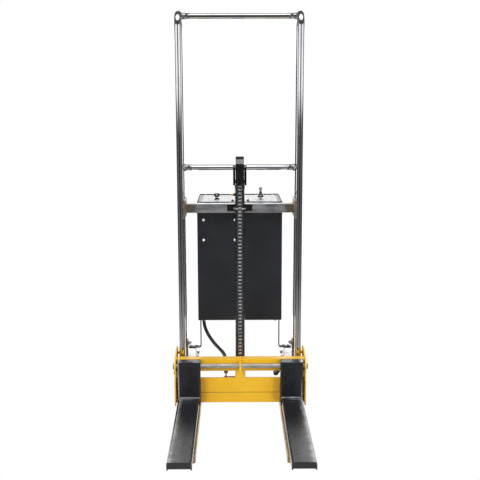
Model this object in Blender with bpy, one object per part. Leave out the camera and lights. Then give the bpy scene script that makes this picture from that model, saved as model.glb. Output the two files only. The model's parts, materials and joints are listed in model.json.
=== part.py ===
"""Walkie stacker: a light fork-over stacker with two bent-tube masts.

Metres, +Z up. The forks point to -Y and the operator stands at +Y. Everything is laid out
about the axis of the two front mast legs (Y = 0 in the layout), and at the end moved by
MAST_Y so that the origin is on the floor under the middle of the stacker.
"""
import math

import bmesh
import bpy
from mathutils import Matrix, Vector

GAP = 0.0003            # clearance between solids that rest on each other
MAST_Y = 0.150          # where the front mast legs stand in the finished part

# masts
MAST_X = 0.258
TUBE_R = 0.01425
TUBE_WALL = 0.0025
FRONT_FOOT_Z = 0.0503
STRAIGHT_TOP_Z = 1.683
BEND_R = 0.049
REAR_LEG_Y = 0.140      # rear leg at its foot
REAR_FOOT_Z = 0.1650
TOP_BAR_Z = 1.7265
TOP_BAR_Y = 0.075
MIDDLE_BAR_Z = 1.080
BAR_R = 0.0125

# cross member between the masts
MEMBER_LOW, MEMBER_HIGH = 0.8875, 0.9275
MEMBER_FRONT, MEMBER_REAR = 0.034, 0.074
U_BOLT_Z = 0.911

# lift cylinder, ram and chain
CYL_Y = 0.012
CYL_R = 0.021
CYL_BORE_R = 0.0165
CYL_FOOT_Z = 0.1353
CYL_TOP_Z = 0.998
GLAND_TOP_Z = 1.012
ROD_R = 0.0125
PULLEY_Z = 1.088
CHAIN_PITCH_R = 0.038
CHAIN_HALF_T = 0.006
CHAIN_HALF_W = 0.0105
HEAD_HALF_W = 0.029
HEAD_LOW = 1.0135           # just above the gland when the ram is down

# carriage
CARRIAGE_X = 0.288
SIDE_T = 0.006
BEAM_LOW, BEAM_HIGH = 0.200, 0.2542
PLATE_LOW, PLATE_HIGH = 0.053, 0.166
CARRIAGE_FRONT = -0.070
BEAM_REAR = -0.034
PLATE_REAR = -0.056
POST_HALF_W = 0.0205
RIB_HALF_W = 0.0042
FORK_ROD_Y, FORK_ROD_Z = -0.094, 0.230
FORK_ROD_R = 0.0105
UPPER_ROLLER = (0.0352, 0.250)      # axle Y, Z
LOWER_ROLLER = (-0.0352, 0.082)
ROLLER_R = 0.0203
ROLLER_HALF_W = 0.012

# forks
FORK_INNER_X, FORK_OUTER_X = 0.174, 0.274
BLADE_INNER_X = 0.181         # the blade is a little narrower than the upright
FORK_TIP_Y = -0.732
FORK_FRONT_Y = -0.1165
FORK_BACK_Y = -0.0705
FORK_TOP_Z = 0.085
FORK_LOW_Z = 0.0533
HANGER_TOP_Z = 0.2526
FORK_T = 0.005

# base under the forks
LEG_INNER_X, LEG_OUTER_X = 0.1745, 0.262
LEG_LOW, LEG_HIGH = 0.018, 0.050
LEG_TIP_Y = -0.600
LOAD_ROLLER_Y = -0.562
LOAD_ROLLER_R = 0.025
LOAD_ROLLER_HALF_W = 0.0345
CHEEK_INNER, CHEEK_OUTER = 0.2315, 0.2434
CHEEK_REAR_Y = 0.165

# casters
CASTER_X, CASTER_Y = 0.230, 0.270
CASTER_PLATE_LOW, CASTER_PLATE_HIGH = 0.156, 0.164
CASTER_TRAIL = 0.035
CASTER_WHEEL_R = 0.050
CASTER_WHEEL_HALF_W = 0.016
RIGHT_CASTER_TURN = math.radians(5)
LEFT_CASTER_TURN = math.radians(-7)
BRAKE_PIN_X, BRAKE_PIN_Z = -0.030, 0.088      # from the swivel axis, on the caster's own left

# power box
BOX_HALF_W = 0.192
BOX_FRONT, BOX_REAR = 0.130, 0.4295
BOX_LOW, BOX_HIGH = 0.374, 0.925
BOX_WALL = 0.003
PANEL_HIGH = 0.9205         # the box's rim stands above the panel
PANEL_T = 0.004
COVER_REAR = 0.432
KEY_SPOT = (-0.105, 0.250)
LEVER_SPOT = (0.098, 0.250)

# straps from the box's bottom to the caster brackets
STRAP_FRONT, STRAP_REAR = 0.150, 0.175
STRAP_INNER_X, STRAP_T = 0.1795, 0.0045
STRAP_FOOT_Z = 0.2355
STRAP_END_X = 0.2385
STRAP_BEND_R = 0.011
EAR_INNER_X, EAR_OUTER_X = 0.2404, 0.2434       # bracket ear beside the rear mast leg
EAR_FRONT, EAR_REAR = 0.120, 0.158
EAR_BOLT_Z = 0.266

# hose from the pump to the cylinder's foot
HOSE_R = 0.0078
HOSE_TOP = (-0.1685, 0.200)
HOSE_LOW = (-0.0645, 0.018)
HOSE_END_Z = 0.1770
HOSE_ROUTE = [(*HOSE_TOP, 0.3735), (*HOSE_TOP, 0.361), (*HOSE_TOP, 0.348),
              (-0.163, 0.194, 0.320), (-0.147, 0.176, 0.290), (-0.123, 0.146, 0.264),
              (-0.098, 0.108, 0.248), (-0.077, 0.064, 0.239), (-0.0665, 0.034, 0.224),
              (*HOSE_LOW, 0.204), (*HOSE_LOW, 0.190), (*HOSE_LOW, HOSE_END_Z)]

COLORS = {
    # name: (colour, roughness, metallic)
    "chrome": ((0.80, 0.80, 0.81), 0.12, 1.0),
    "zinc": ((0.62, 0.62, 0.60), 0.38, 1.0),
    "yellow_paint": ((0.80, 0.44, 0.04), 0.38, 0.0),
    "black_paint": ((0.020, 0.020, 0.022), 0.30, 0.0),
    "black_steel": ((0.030, 0.030, 0.032), 0.45, 0.6),
    "brass": ((0.62, 0.42, 0.16), 0.35, 1.0),
    "black_rubber": ((0.020, 0.020, 0.020), 0.75, 0.0),
    "panel_grey": ((0.68, 0.68, 0.68), 0.45, 0.0),
    "nylon": ((0.72, 0.70, 0.64), 0.50, 0.0),
    "battery_case": ((0.05, 0.05, 0.055), 0.55, 0.0),
    "motor_steel": ((0.12, 0.12, 0.13), 0.40, 0.8),
    "aluminium": ((0.66, 0.66, 0.66), 0.40, 1.0),
    "tank_plastic": ((0.30, 0.29, 0.26), 0.50, 0.0),
}


def clear_scene():
    for old in list(bpy.data.objects):
        bpy.data.objects.remove(old, do_unlink=True)


def material(name):
    found = bpy.data.materials.get(name)
    if found:
        return found
    colour, roughness, metallic = COLORS[name]
    made = bpy.data.materials.new(name)
    made.use_nodes = True
    shader = made.node_tree.nodes["Principled BSDF"]
    shader.inputs["Base Color"].default_value = (*colour, 1.0)
    shader.inputs["Roughness"].default_value = roughness
    shader.inputs["Metallic"].default_value = metallic
    return made


def add_object(name, bm, finish, smooth=True):
    """Turn a bmesh into a scene object with its own material."""
    bmesh.ops.recalc_face_normals(bm, faces=bm.faces)
    mesh = bpy.data.meshes.new(name)
    bm.to_mesh(mesh)
    bm.free()
    mesh.materials.append(material(finish))
    made = bpy.data.objects.new(name, mesh)
    bpy.context.scene.collection.objects.link(made)
    if smooth:
        mesh.shade_smooth()
        mesh.set_sharp_from_angle(angle=math.radians(35))
    return made


def box(name, low, high, finish):
    bm = bmesh.new()
    bmesh.ops.create_cube(bm, size=1.0)
    centre = (Vector(low) + Vector(high)) / 2
    size = Vector(high) - Vector(low)
    for vert in bm.verts:
        vert.co = Vector((vert.co.x * size.x, vert.co.y * size.y, vert.co.z * size.z)) + centre
    return add_object(name, bm, finish, smooth=False)


def mirrored_box(name, side, low, high, finish):
    """A box given for the right-hand side (X > 0), placed on the side asked for."""
    if side > 0:
        return box(name, low, high, finish)
    return box(name, (-high[0], low[1], low[2]), (-low[0], high[1], high[2]), finish)


def frame_along(axis):
    """A rotation whose Z column is the axis given."""
    return Vector(axis).to_track_quat("Z", "Y").to_matrix()


def turned(name, profile, centre, axis, finish, sides=24, half_step=False):
    """Revolve a closed profile of (radius, height) points about an axis through centre.

    The profile's first and last point lie on the axis (radius 0) for a solid piece; otherwise
    the profile is closed into a ring.
    """
    bm = bmesh.new()
    turn = frame_along(axis)
    rings = []
    start = 0.5 if half_step else 0.0
    for radius, height in profile:
        if radius == 0.0:
            rings.append([bm.verts.new(Vector(centre) + turn @ Vector((0, 0, height)))])
            continue
        ring = []
        for k in range(sides):
            angle = 2 * math.pi * (k + start) / sides
            spot = Vector((radius * math.cos(angle), radius * math.sin(angle), height))
            ring.append(bm.verts.new(Vector(centre) + turn @ spot))
        rings.append(ring)
    pairs = list(zip(rings, rings[1:]))
    if profile[0][0] != 0.0:
        pairs.append((rings[-1], rings[0]))
    for lower, upper in pairs:
        for k in range(sides):
            nxt = (k + 1) % sides
            if len(lower) == 1:
                bm.faces.new((lower[0], upper[k], upper[nxt]))
            elif len(upper) == 1:
                bm.faces.new((lower[k], upper[0], lower[nxt]))
            else:
                bm.faces.new((lower[k], upper[k], upper[nxt], lower[nxt]))
    return add_object(name, bm, finish)


def cylinder(name, centre, axis, radius, length, finish, sides=24):
    """A plain shaft from centre along axis."""
    profile = [(0.0, 0.0), (radius, 0.0), (radius, length), (0.0, length)]
    return turned(name, profile, centre, axis, finish, sides)


def tube_ring(name, centre, axis, outer, inner, length, finish, sides=24):
    profile = [(inner, 0.0), (outer, 0.0), (outer, length), (inner, length)]
    return turned(name, profile, centre, axis, finish, sides)


def plate(name, outline, axis, low, high, finish, smooth=False):
    """Extrude an outline. axis X takes (y, z) points, axis Y (x, z), axis Z (x, y)."""
    place = {
        "X": lambda a, b, h: (h, a, b),
        "Y": lambda a, b, h: (a, h, b),
        "Z": lambda a, b, h: (a, b, h),
    }[axis]
    bm = bmesh.new()
    bottom = [bm.verts.new(place(a, b, low)) for a, b in outline]
    top = [bm.verts.new(place(a, b, high)) for a, b in outline]
    bm.faces.new(bottom)
    bm.faces.new(top)
    count = len(outline)
    for k in range(count):
        nxt = (k + 1) % count
        bm.faces.new((bottom[k], bottom[nxt], top[nxt], top[k]))
    return add_object(name, bm, finish, smooth)


def arc(centre_a, centre_b, radius, start_deg, end_deg, steps):
    """Points on an arc in a plane, both ends included."""
    points = []
    for k in range(steps + 1):
        angle = math.radians(start_deg + (end_deg - start_deg) * k / steps)
        points.append((centre_a + radius * math.cos(angle), centre_b + radius * math.sin(angle)))
    return points


def swept_tube(name, path, outer, inner, finish, sides=20):
    """A tube that follows a path; inner 0 gives a solid bar."""
    points = [Vector(p) for p in path]
    tangents = []
    for k, point in enumerate(points):
        before = points[max(k - 1, 0)]
        after = points[min(k + 1, len(points) - 1)]
        tangents.append((after - before).normalized())
    side = tangents[0].orthogonal().normalized()
    bm = bmesh.new()
    outer_rings, inner_rings = [], []
    for point, tangent in zip(points, tangents):
        side = (side - tangent * side.dot(tangent)).normalized()
        up = tangent.cross(side)
        rings = []
        for radius in (outer, inner):
            ring = []
            for k in range(sides):
                angle = 2 * math.pi * k / sides
                offset = side * math.cos(angle) + up * math.sin(angle)
                if radius > 0:
                    ring.append(bm.verts.new(point + offset * radius))
            rings.append(ring)
        outer_rings.append(rings[0])
        inner_rings.append(rings[1])
    for rings in (outer_rings, inner_rings):
        for lower, upper in zip(rings, rings[1:]):
            for k in range(len(lower)):
                nxt = (k + 1) % sides
                bm.faces.new((lower[k], lower[nxt], upper[nxt], upper[k]))
    for end in (0, -1):
        if inner > 0:
            for k in range(sides):
                nxt = (k + 1) % sides
                bm.faces.new((outer_rings[end][k], outer_rings[end][nxt],
                              inner_rings[end][nxt], inner_rings[end][k]))
        else:
            bm.faces.new(outer_rings[end])
    return add_object(name, bm, finish)


def combine(target, tools, operation):
    """Boolean each tool into the target and keep the tools only as hidden guides."""
    for tool in tools:
        change = target.modifiers.new(operation.lower(), "BOOLEAN")
        change.operation = operation
        change.solver = "EXACT"
        change.object = tool
        tool.hide_render = True
        tool.display_type = "WIRE"
    return target


def join_solids(target, tools):
    return combine(target, tools, "UNION")


def cut(target, tools):
    return combine(target, tools, "DIFFERENCE")


def side_name(side):
    return "right" if side > 0 else "left"


# ---------------------------------------------------------------- base and masts

def base_frame():
    """The yellow weldment: two low legs, two cheeks and two cross tubes."""
    frame = box("base_frame", (-0.235, -0.025, 0.075), (0.235, 0.025, 0.135), "yellow_paint")
    parts = [box("guide_rear_tube", (-0.235, 0.138, 0.126), (0.235, 0.1625, 0.1555), "yellow_paint")]
    cuts = []
    for side in (-1, 1):
        tag = side_name(side)
        outline = [(-0.030, 0.040), (CHEEK_REAR_Y, 0.040), (CHEEK_REAR_Y, 0.1555), (0.120, 0.1555),
                   (0.060, 0.140), (-0.030, 0.140)]
        low, high = sorted((side * CHEEK_INNER, side * CHEEK_OUTER))
        parts.append(plate("guide_cheek_" + tag, outline, "X", low, high, "yellow_paint"))
        parts.append(mirrored_box("guide_leg_" + tag, side, (LEG_INNER_X, LEG_TIP_Y, LEG_LOW),
                                  (LEG_OUTER_X, 0.150, LEG_HIGH), "yellow_paint"))
        cuts.append(mirrored_box("guide_hollow_" + tag, side,
                                 (LEG_INNER_X + 0.005, LOAD_ROLLER_Y + 0.034, LEG_LOW - 0.01),
                                 (LEG_OUTER_X - 0.005, 0.145, LEG_HIGH - 0.005), "yellow_paint"))
        cuts.append(mirrored_box("guide_roller_slot_" + tag, side,
                                 (LEG_INNER_X + 0.008, LOAD_ROLLER_Y - 0.029, LEG_LOW - 0.01),
                                 (LEG_OUTER_X - 0.008, LOAD_ROLLER_Y + 0.029, LEG_HIGH + 0.01),
                                 "yellow_paint"))
    join_solids(frame, parts)
    cut(frame, cuts)
    axles = []
    for side in (-1, 1):
        low = side * (LEG_INNER_X + LEG_OUTER_X) / 2 - 0.040
        axles.append(cylinder("guide_axle_" + side_name(side), (low, LOAD_ROLLER_Y, LOAD_ROLLER_R),
                              (1, 0, 0), 0.006, 0.080, "zinc", 16))
    join_solids(frame, axles)


def mast_path():
    """Centre line of one mast tube, from the front foot over the bend to the rear foot."""
    rear_top_y = 2 * BEND_R
    path = [(0.0, FRONT_FOOT_Z), (0.0, 0.9)]
    path += arc(BEND_R, STRAIGHT_TOP_Z, BEND_R, 180, 0, 12)
    path += [((rear_top_y + REAR_LEG_Y) / 2, (STRAIGHT_TOP_Z + REAR_FOOT_Z) / 2),
             (REAR_LEG_Y, REAR_FOOT_Z)]
    return path


def rear_leg_y(z):
    """Y of the rear leg's axis at a height."""
    share = (STRAIGHT_TOP_Z - z) / (STRAIGHT_TOP_Z - REAR_FOOT_Z)
    return 2 * BEND_R + (REAR_LEG_Y - 2 * BEND_R) * share


def masts():
    for side in (-1, 1):
        path = [(side * MAST_X, y, z) for y, z in mast_path()]
        swept_tube("mast_tube_" + side_name(side), path, TUBE_R, TUBE_R - TUBE_WALL, "chrome")


def crossbar(name, y, z):
    """A round bar whose ends are cut to saddles around the mast tubes."""
    bar = cylinder(name, (-MAST_X, y, z), (1, 0, 0), BAR_R, 2 * MAST_X, "chrome", 20)
    saddles = []
    for side in (-1, 1):
        path = [(side * MAST_X, a, b) for a, b in mast_path()]
        saddles.append(swept_tube("guide_saddle_%s_%s" % (name, side_name(side)), path,
                                  TUBE_R + GAP, 0.0, "chrome"))
        saddles.append(mirrored_box("guide_trim_%s_%s" % (name, side_name(side)), side,
                                    (MAST_X - 0.004, y - 0.03, z - 0.03),
                                    (MAST_X + 0.03, y + 0.03, z + 0.03), "chrome"))
    cut(bar, saddles)


def cross_member():
    """Square tube between the masts, with a tab plate at each end."""
    end = CHEEK_OUTER - 0.005
    tube = box("cross_member", (-end, MEMBER_FRONT, MEMBER_LOW), (end, MEMBER_REAR, MEMBER_HIGH), "zinc")
    hollow = box("guide_member_bore", (-end - 0.02, MEMBER_FRONT + 0.003, MEMBER_LOW + 0.003),
                 (end + 0.02, MEMBER_REAR - 0.003, MEMBER_HIGH - 0.003), "zinc")
    cut(tube, [hollow])
    tabs = []
    rear = rear_leg_y(0.91) + 0.006
    for side in (-1, 1):
        tabs.append(mirrored_box("guide_tab_" + side_name(side), side, (CHEEK_OUTER - 0.006, -0.008, 0.868),
                                 (CHEEK_OUTER, rear, 0.950), "zinc"))
    join_solids(tube, tabs)
    slots = []
    for x in (-0.0254, 0.0254):
        slots.append(cylinder("guide_u_hole_%d" % (x > 0), (x, 0.0, U_BOLT_Z), (0, 1, 0), 0.0046, 0.1,
                              "zinc", 12))
    slots.append(cylinder("guide_anchor_hole", (0, CYL_Y + CHAIN_PITCH_R, MEMBER_LOW - 0.02), (0, 0, 1),
                          0.0046, 0.08, "zinc", 12))
    cut(tube, slots)


# ---------------------------------------------------------------- cylinder, ram and chain

def lift_cylinder():
    profile = [(0.0, CYL_FOOT_Z + 0.0183), (CYL_R, CYL_FOOT_Z + 0.0183), (CYL_R, CYL_TOP_Z),
               (CYL_BORE_R, CYL_TOP_Z), (CYL_BORE_R, CYL_FOOT_Z + 0.030), (0.0, CYL_FOOT_Z + 0.030)]
    turned("cylinder_barrel", profile, (0, CYL_Y, 0), (0, 0, 1), "black_paint", 28)
    profile = [(ROD_R + GAP, 0.0), (CYL_R + 0.0015, 0.0), (CYL_R + 0.0015, GLAND_TOP_Z - CYL_TOP_Z - 0.002),
               (CYL_R, GLAND_TOP_Z - CYL_TOP_Z - GAP), (ROD_R + GAP, GLAND_TOP_Z - CYL_TOP_Z - GAP)]
    turned("cylinder_gland", profile, (0, CYL_Y, CYL_TOP_Z + GAP), (0, 0, 1), "black_steel", 28)
    foot = box("cylinder_foot", (-0.0205, -0.012, CYL_FOOT_Z), (0.0205, 0.036, CYL_FOOT_Z + 0.006),
               "black_steel")
    boss = cylinder("guide_boss", (0, CYL_Y, CYL_FOOT_Z + 0.002), (0, 0, 1), 0.020, 0.016, "black_steel", 28)
    port_arm = box("guide_port_arm", (-0.0735, 0.0095, CYL_FOOT_Z + 0.003), (-0.018, 0.0265, CYL_FOOT_Z + 0.006),
                   "black_steel")
    join_solids(foot, [boss, port_arm])


def cylinder_clamp():
    """Plate on the cross member and the U-bolt that holds the cylinder to it."""
    clamp = box("cylinder_clamp_plate", (-0.055, 0.0295, 0.896), (0.055, MEMBER_FRONT - GAP, 0.926),
                "black_paint")
    relief = cylinder("guide_clamp_relief", (0, CYL_Y, 0.88), (0, 0, 1), CYL_R + 0.0006, 0.06,
                      "black_paint", 28)
    holes = []
    for x in (-0.0254, 0.0254):
        holes.append(cylinder("guide_clamp_hole_%d" % (x > 0), (x, 0.02, U_BOLT_Z), (0, 1, 0), 0.0046, 0.05,
                              "black_paint", 12))
    cut(clamp, [relief] + holes)
    radius = 0.0254
    path = [(-radius, MEMBER_REAR + 0.014, U_BOLT_Z), (-radius, CYL_Y + 0.012, U_BOLT_Z)]
    path += [(a, b, U_BOLT_Z) for a, b in arc(0.0, CYL_Y, radius, 180, 360, 14)]
    path += [(radius, CYL_Y + 0.012, U_BOLT_Z), (radius, MEMBER_REAR + 0.014, U_BOLT_Z)]
    swept_tube("cylinder_u_bolt", path, 0.0038, 0.0, "zinc", 12)


def chain_section(name, y, low, high):
    """A straight run of roller chain as its plain envelope."""
    return box(name, (-CHAIN_HALF_W, y - CHAIN_HALF_T, low), (CHAIN_HALF_W, y + CHAIN_HALF_T, high),
               "black_steel")


def lift_chain():
    front_y = CYL_Y - CHAIN_PITCH_R
    rear_y = CYL_Y + CHAIN_PITCH_R
    chain_section("chain_front_run", front_y, 0.196, PULLEY_Z - 0.0005)
    chain_section("chain_rear_run", rear_y, MEMBER_HIGH + 0.026, PULLEY_Z - 0.0005)
    outline = arc(CYL_Y, PULLEY_Z, CHAIN_PITCH_R + CHAIN_HALF_T, 0, 180, 18)
    outline += arc(CYL_Y, PULLEY_Z, CHAIN_PITCH_R - CHAIN_HALF_T, 180, 0, 18)
    plate("chain_over_pulley", outline, "X", -CHAIN_HALF_W, CHAIN_HALF_W, "black_steel", smooth=True)
    anchor = cylinder("chain_anchor", (0, rear_y, MEMBER_LOW - 0.022), (0, 0, 1), 0.0040, 0.066,
                      "zinc", 12)
    block = box("guide_anchor_block", (-0.008, rear_y - 0.0055, MEMBER_HIGH + GAP),
                (0.008, rear_y + 0.0055, MEMBER_HIGH + 0.0255), "zinc")
    nut = cylinder("guide_anchor_nut", (0, rear_y, MEMBER_LOW - 0.014), (0, 0, 1), 0.0075,
                   0.014 - GAP, "zinc", 6)
    join_solids(anchor, [block, nut])


def ram():
    profile = [(0.0, CYL_FOOT_Z + 0.0305), (0.0160, CYL_FOOT_Z + 0.0305), (0.0160, CYL_FOOT_Z + 0.070),
               (ROD_R, CYL_FOOT_Z + 0.070), (ROD_R, 1.024), (0.0, 1.024)]
    turned("ram_rod", profile, (0, CYL_Y, 0), (0, 0, 1), "chrome", 24)
    head = box("ram_head", (-HEAD_HALF_W + 0.001, CYL_Y - 0.0275, 1.0243),
               (HEAD_HALF_W - 0.001, CYL_Y + 0.0275, 1.038), "black_paint")
    cheeks = []
    outline = [(CYL_Y - 0.028, HEAD_LOW), (CYL_Y + 0.028, HEAD_LOW), (CYL_Y + 0.028, 1.085)]
    outline += arc(CYL_Y + 0.012, 1.085, 0.016, 0, 90, 4)
    outline += arc(CYL_Y - 0.012, 1.085, 0.016, 90, 180, 4)
    for side in (-1, 1):
        low, high = sorted((side * 0.0190, side * HEAD_HALF_W))
        cheeks.append(plate("guide_head_cheek_" + side_name(side), outline, "X", low, high, "black_paint"))
    join_solids(head, cheeks)
    bore = cylinder("guide_head_bore", (-0.05, CYL_Y, PULLEY_Z), (1, 0, 0), 0.0083, 0.1, "black_paint", 24)
    cut(head, [bore])
    cylinder("pulley_axle", (-0.031, CYL_Y, PULLEY_Z), (1, 0, 0), 0.0080, 0.062, "zinc", 24)
    guard()
    inner = CHAIN_PITCH_R - CHAIN_HALF_T - 0.0004
    profile = [(0.0083, -0.0180), (0.0140, -0.0180), (0.0140, -0.0105), (inner, -0.0100), (inner, 0.0100),
               (0.0140, 0.0105), (0.0140, 0.0180), (0.0083, 0.0180)]
    turned("chain_pulley", profile, (0, CYL_Y, PULLEY_Z), (1, 0, 0), "zinc", 32)


def guard():
    """Sheet hood over the front and top of the pulley, as long as the ram head's cheeks."""
    outer, inner = 0.0487, 0.0457
    outline = [(CYL_Y - outer, HEAD_LOW), (CYL_Y - outer, PULLEY_Z)]
    outline += arc(CYL_Y, PULLEY_Z, outer, 180, 40, 14)[1:]
    outline += arc(CYL_Y, PULLEY_Z, inner, 40, 180, 14)
    outline += [(CYL_Y - inner, HEAD_LOW)]
    plate("chain_guard", outline, "X", -0.018, 0.018, "black_paint", smooth=True)


# ---------------------------------------------------------------- carriage and forks

def carriage_side_outline():
    """Side plate in (y, z): round nose at the fork rod, tall ear over the upper roller."""
    outline = [(-0.112, PLATE_LOW), (-0.012, PLATE_LOW), (-0.004, 0.120), (0.038, 0.190)]
    outline += arc(UPPER_ROLLER[0], UPPER_ROLLER[1], 0.030, -40, 80, 6)
    outline += [(-0.020, 0.280), (-0.078, 0.2610)]
    outline += arc(FORK_ROD_Y, FORK_ROD_Z, 0.0265, 100, 225, 8)
    outline += [(-0.112, 0.205)]
    return outline


def carriage_frame():
    """Yellow weldment: top beam, centre post, folded lower plate, rib and two side plates."""
    inner = CARRIAGE_X - SIDE_T
    frame = box("carriage_frame", (-inner - 0.001, CARRIAGE_FRONT, BEAM_LOW),
                (inner + 0.001, BEAM_REAR, BEAM_HIGH), "yellow_paint")
    parts = [box("guide_lower_plate", (-inner - 0.001, CARRIAGE_FRONT, PLATE_LOW),
                 (inner + 0.001, PLATE_REAR, PLATE_HIGH), "yellow_paint"),
             box("guide_post", (-POST_HALF_W, CARRIAGE_FRONT, 0.150), (POST_HALF_W, PLATE_REAR, 0.210),
                 "yellow_paint"),
             box("guide_rib", (-RIB_HALF_W, -0.110, 0.206), (RIB_HALF_W, -0.060, 0.2525),
                 "yellow_paint"),
             box("guide_chain_shelf", (-0.018, -0.060, 0.148), (0.018, -0.0155, 0.156), "yellow_paint")]
    for side in (-1, 1):
        low, high = sorted((side * inner, side * CARRIAGE_X))
        parts.append(plate("guide_carriage_side_" + side_name(side), carriage_side_outline(), "X",
                           low, high, "yellow_paint"))
        for label, (y, z) in (("upper", UPPER_ROLLER), ("lower", LOWER_ROLLER)):
            start = side * (MAST_X - 0.0135)
            length = CARRIAGE_X - SIDE_T / 2 - (MAST_X - 0.0135)
            parts.append(cylinder("guide_stub_%s_%s" % (label, side_name(side)), (start, y, z),
                                  (side, 0, 0), 0.0055, length, "zinc", 16))
    join_solids(frame, parts)
    bore = cylinder("guide_rod_bore", (-0.4, FORK_ROD_Y, FORK_ROD_Z), (1, 0, 0), FORK_ROD_R + GAP, 0.8,
                    "yellow_paint", 24)
    clevis_hole = cylinder("guide_clevis_hole", (0, CYL_Y - CHAIN_PITCH_R, 0.14), (0, 0, 1), 0.0046, 0.03,
                           "yellow_paint", 12)
    cut(frame, [bore, clevis_hole])


def carriage_trim():
    reach = CARRIAGE_X + 0.0003
    cylinder("fork_rod", (-reach, FORK_ROD_Y, FORK_ROD_Z), (1, 0, 0), FORK_ROD_R, 2 * reach, "zinc", 24)
    for side in (-1, 1):
        cylinder("rod_nut_" + side_name(side), (side * (reach + GAP), FORK_ROD_Y, FORK_ROD_Z),
                 (side, 0, 0), 0.0150, 0.0064, "zinc", 6)
    profile = [(0.0, 0.0), (0.0035, 0.0), (0.0035, 0.0015), (0.0075, 0.0015), (0.0080, 0.0030),
               (0.0065, 0.0060), (0.0, 0.0066)]
    turned("carriage_stop_knob", profile, (-CARRIAGE_X - GAP, -0.060, 0.187), (-1, 0, 0),
           "black_rubber", 16)
    y = CYL_Y - CHAIN_PITCH_R
    clevis = cylinder("chain_clevis", (0, y, 0.1415), (0, 0, 1), 0.0040, 0.040, "zinc", 12)
    block = box("guide_clevis_block", (-0.008, y - 0.0055, 0.1655), (0.008, y + 0.0055, 0.1955), "zinc")
    nut = cylinder("guide_clevis_nut", (0, y, 0.1565), (0, 0, 1), 0.0075, 0.0095, "zinc", 6)
    join_solids(clevis, [block, nut])


def guide_rollers():
    """Four rollers with rounded rims that run on the front mast legs."""
    rim = 0.0015
    profile = [(0.0058, -ROLLER_HALF_W), (ROLLER_R - rim, -ROLLER_HALF_W), (ROLLER_R, rim - ROLLER_HALF_W),
               (ROLLER_R, ROLLER_HALF_W - rim), (ROLLER_R - rim, ROLLER_HALF_W), (0.0058, ROLLER_HALF_W)]
    for side in (-1, 1):
        for label, (y, z) in (("upper", UPPER_ROLLER), ("lower", LOWER_ROLLER)):
            turned("guide_roller_%s_%s" % (label, side_name(side)), profile, (side * MAST_X, y, z),
                   (1, 0, 0), "nylon", 24)


def forks():
    """Folded channels: a low inverted-U blade and an upright that hangs on the rod."""
    for side in (-1, 1):
        tag = side_name(side)
        fork = mirrored_box("fork_" + tag, side, (BLADE_INNER_X, FORK_TIP_Y, FORK_LOW_Z),
                            (FORK_OUTER_X, FORK_BACK_Y, FORK_TOP_Z), "black_paint")
        hanger = mirrored_box("guide_hanger_" + tag, side, (FORK_INNER_X, FORK_FRONT_Y, FORK_LOW_Z + 0.001),
                              (FORK_OUTER_X, FORK_BACK_Y, HANGER_TOP_Z), "black_paint")
        low, high = sorted((side * (FORK_INNER_X + 0.002), side * (FORK_OUTER_X - 0.002)))
        weld = plate("guide_weld_" + tag,
                     [(FORK_FRONT_Y + 0.002, FORK_TOP_Z - 0.002), (FORK_FRONT_Y + 0.002, FORK_TOP_Z + 0.013),
                      (FORK_FRONT_Y - 0.010, FORK_TOP_Z - 0.002)], "X", low, high, "black_paint")
        join_solids(fork, [hanger, weld])
        inner = FORK_INNER_X + FORK_T
        outer = FORK_OUTER_X - FORK_T
        blade_inner = BLADE_INNER_X + FORK_T
        hollow = mirrored_box("guide_blade_hollow_" + tag, side,
                              (blade_inner, FORK_TIP_Y + 0.012, FORK_LOW_Z - 0.01),
                              (outer, FORK_BACK_Y + 0.01, FORK_TOP_Z - FORK_T), "black_paint")
        slot = mirrored_box("guide_upright_hollow_" + tag, side, (inner, FORK_FRONT_Y + FORK_T, FORK_LOW_Z),
                            (outer, FORK_BACK_Y + 0.01, HANGER_TOP_Z - FORK_T), "black_paint")
        nose = mirrored_box("guide_nose_" + tag, side, (blade_inner, FORK_TIP_Y - 0.01, FORK_LOW_Z - 0.01),
                            (outer, FORK_TIP_Y + 0.004, FORK_TOP_Z - 0.003), "black_paint")
        heel = mirrored_box("guide_nose_low_" + tag, side, (blade_inner, FORK_TIP_Y - 0.01, FORK_LOW_Z - 0.01),
                            (outer, FORK_TIP_Y + 0.013, FORK_LOW_Z + 0.003), "black_paint")
        bore = cylinder("guide_fork_bore_" + tag, (side * 0.16, FORK_ROD_Y, FORK_ROD_Z), (side, 0, 0),
                        FORK_ROD_R + GAP, 0.13, "black_paint", 24)
        cut(fork, [hollow, slot, nose, heel, bore])


def load_rollers():
    round_r = LOAD_ROLLER_R / math.cos(math.pi / 32)
    profile = [(0.0063, -LOAD_ROLLER_HALF_W), (round_r - 0.002, -LOAD_ROLLER_HALF_W),
               (round_r, -LOAD_ROLLER_HALF_W + 0.002), (round_r, LOAD_ROLLER_HALF_W - 0.002),
               (round_r - 0.002, LOAD_ROLLER_HALF_W), (0.0063, LOAD_ROLLER_HALF_W)]
    for side in (-1, 1):
        centre = (side * (LEG_INNER_X + LEG_OUTER_X) / 2, LOAD_ROLLER_Y, LOAD_ROLLER_R)
        turned("load_roller_" + side_name(side), profile, centre, (1, 0, 0), "nylon", 32, half_step=True)


# ---------------------------------------------------------------- casters

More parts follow.
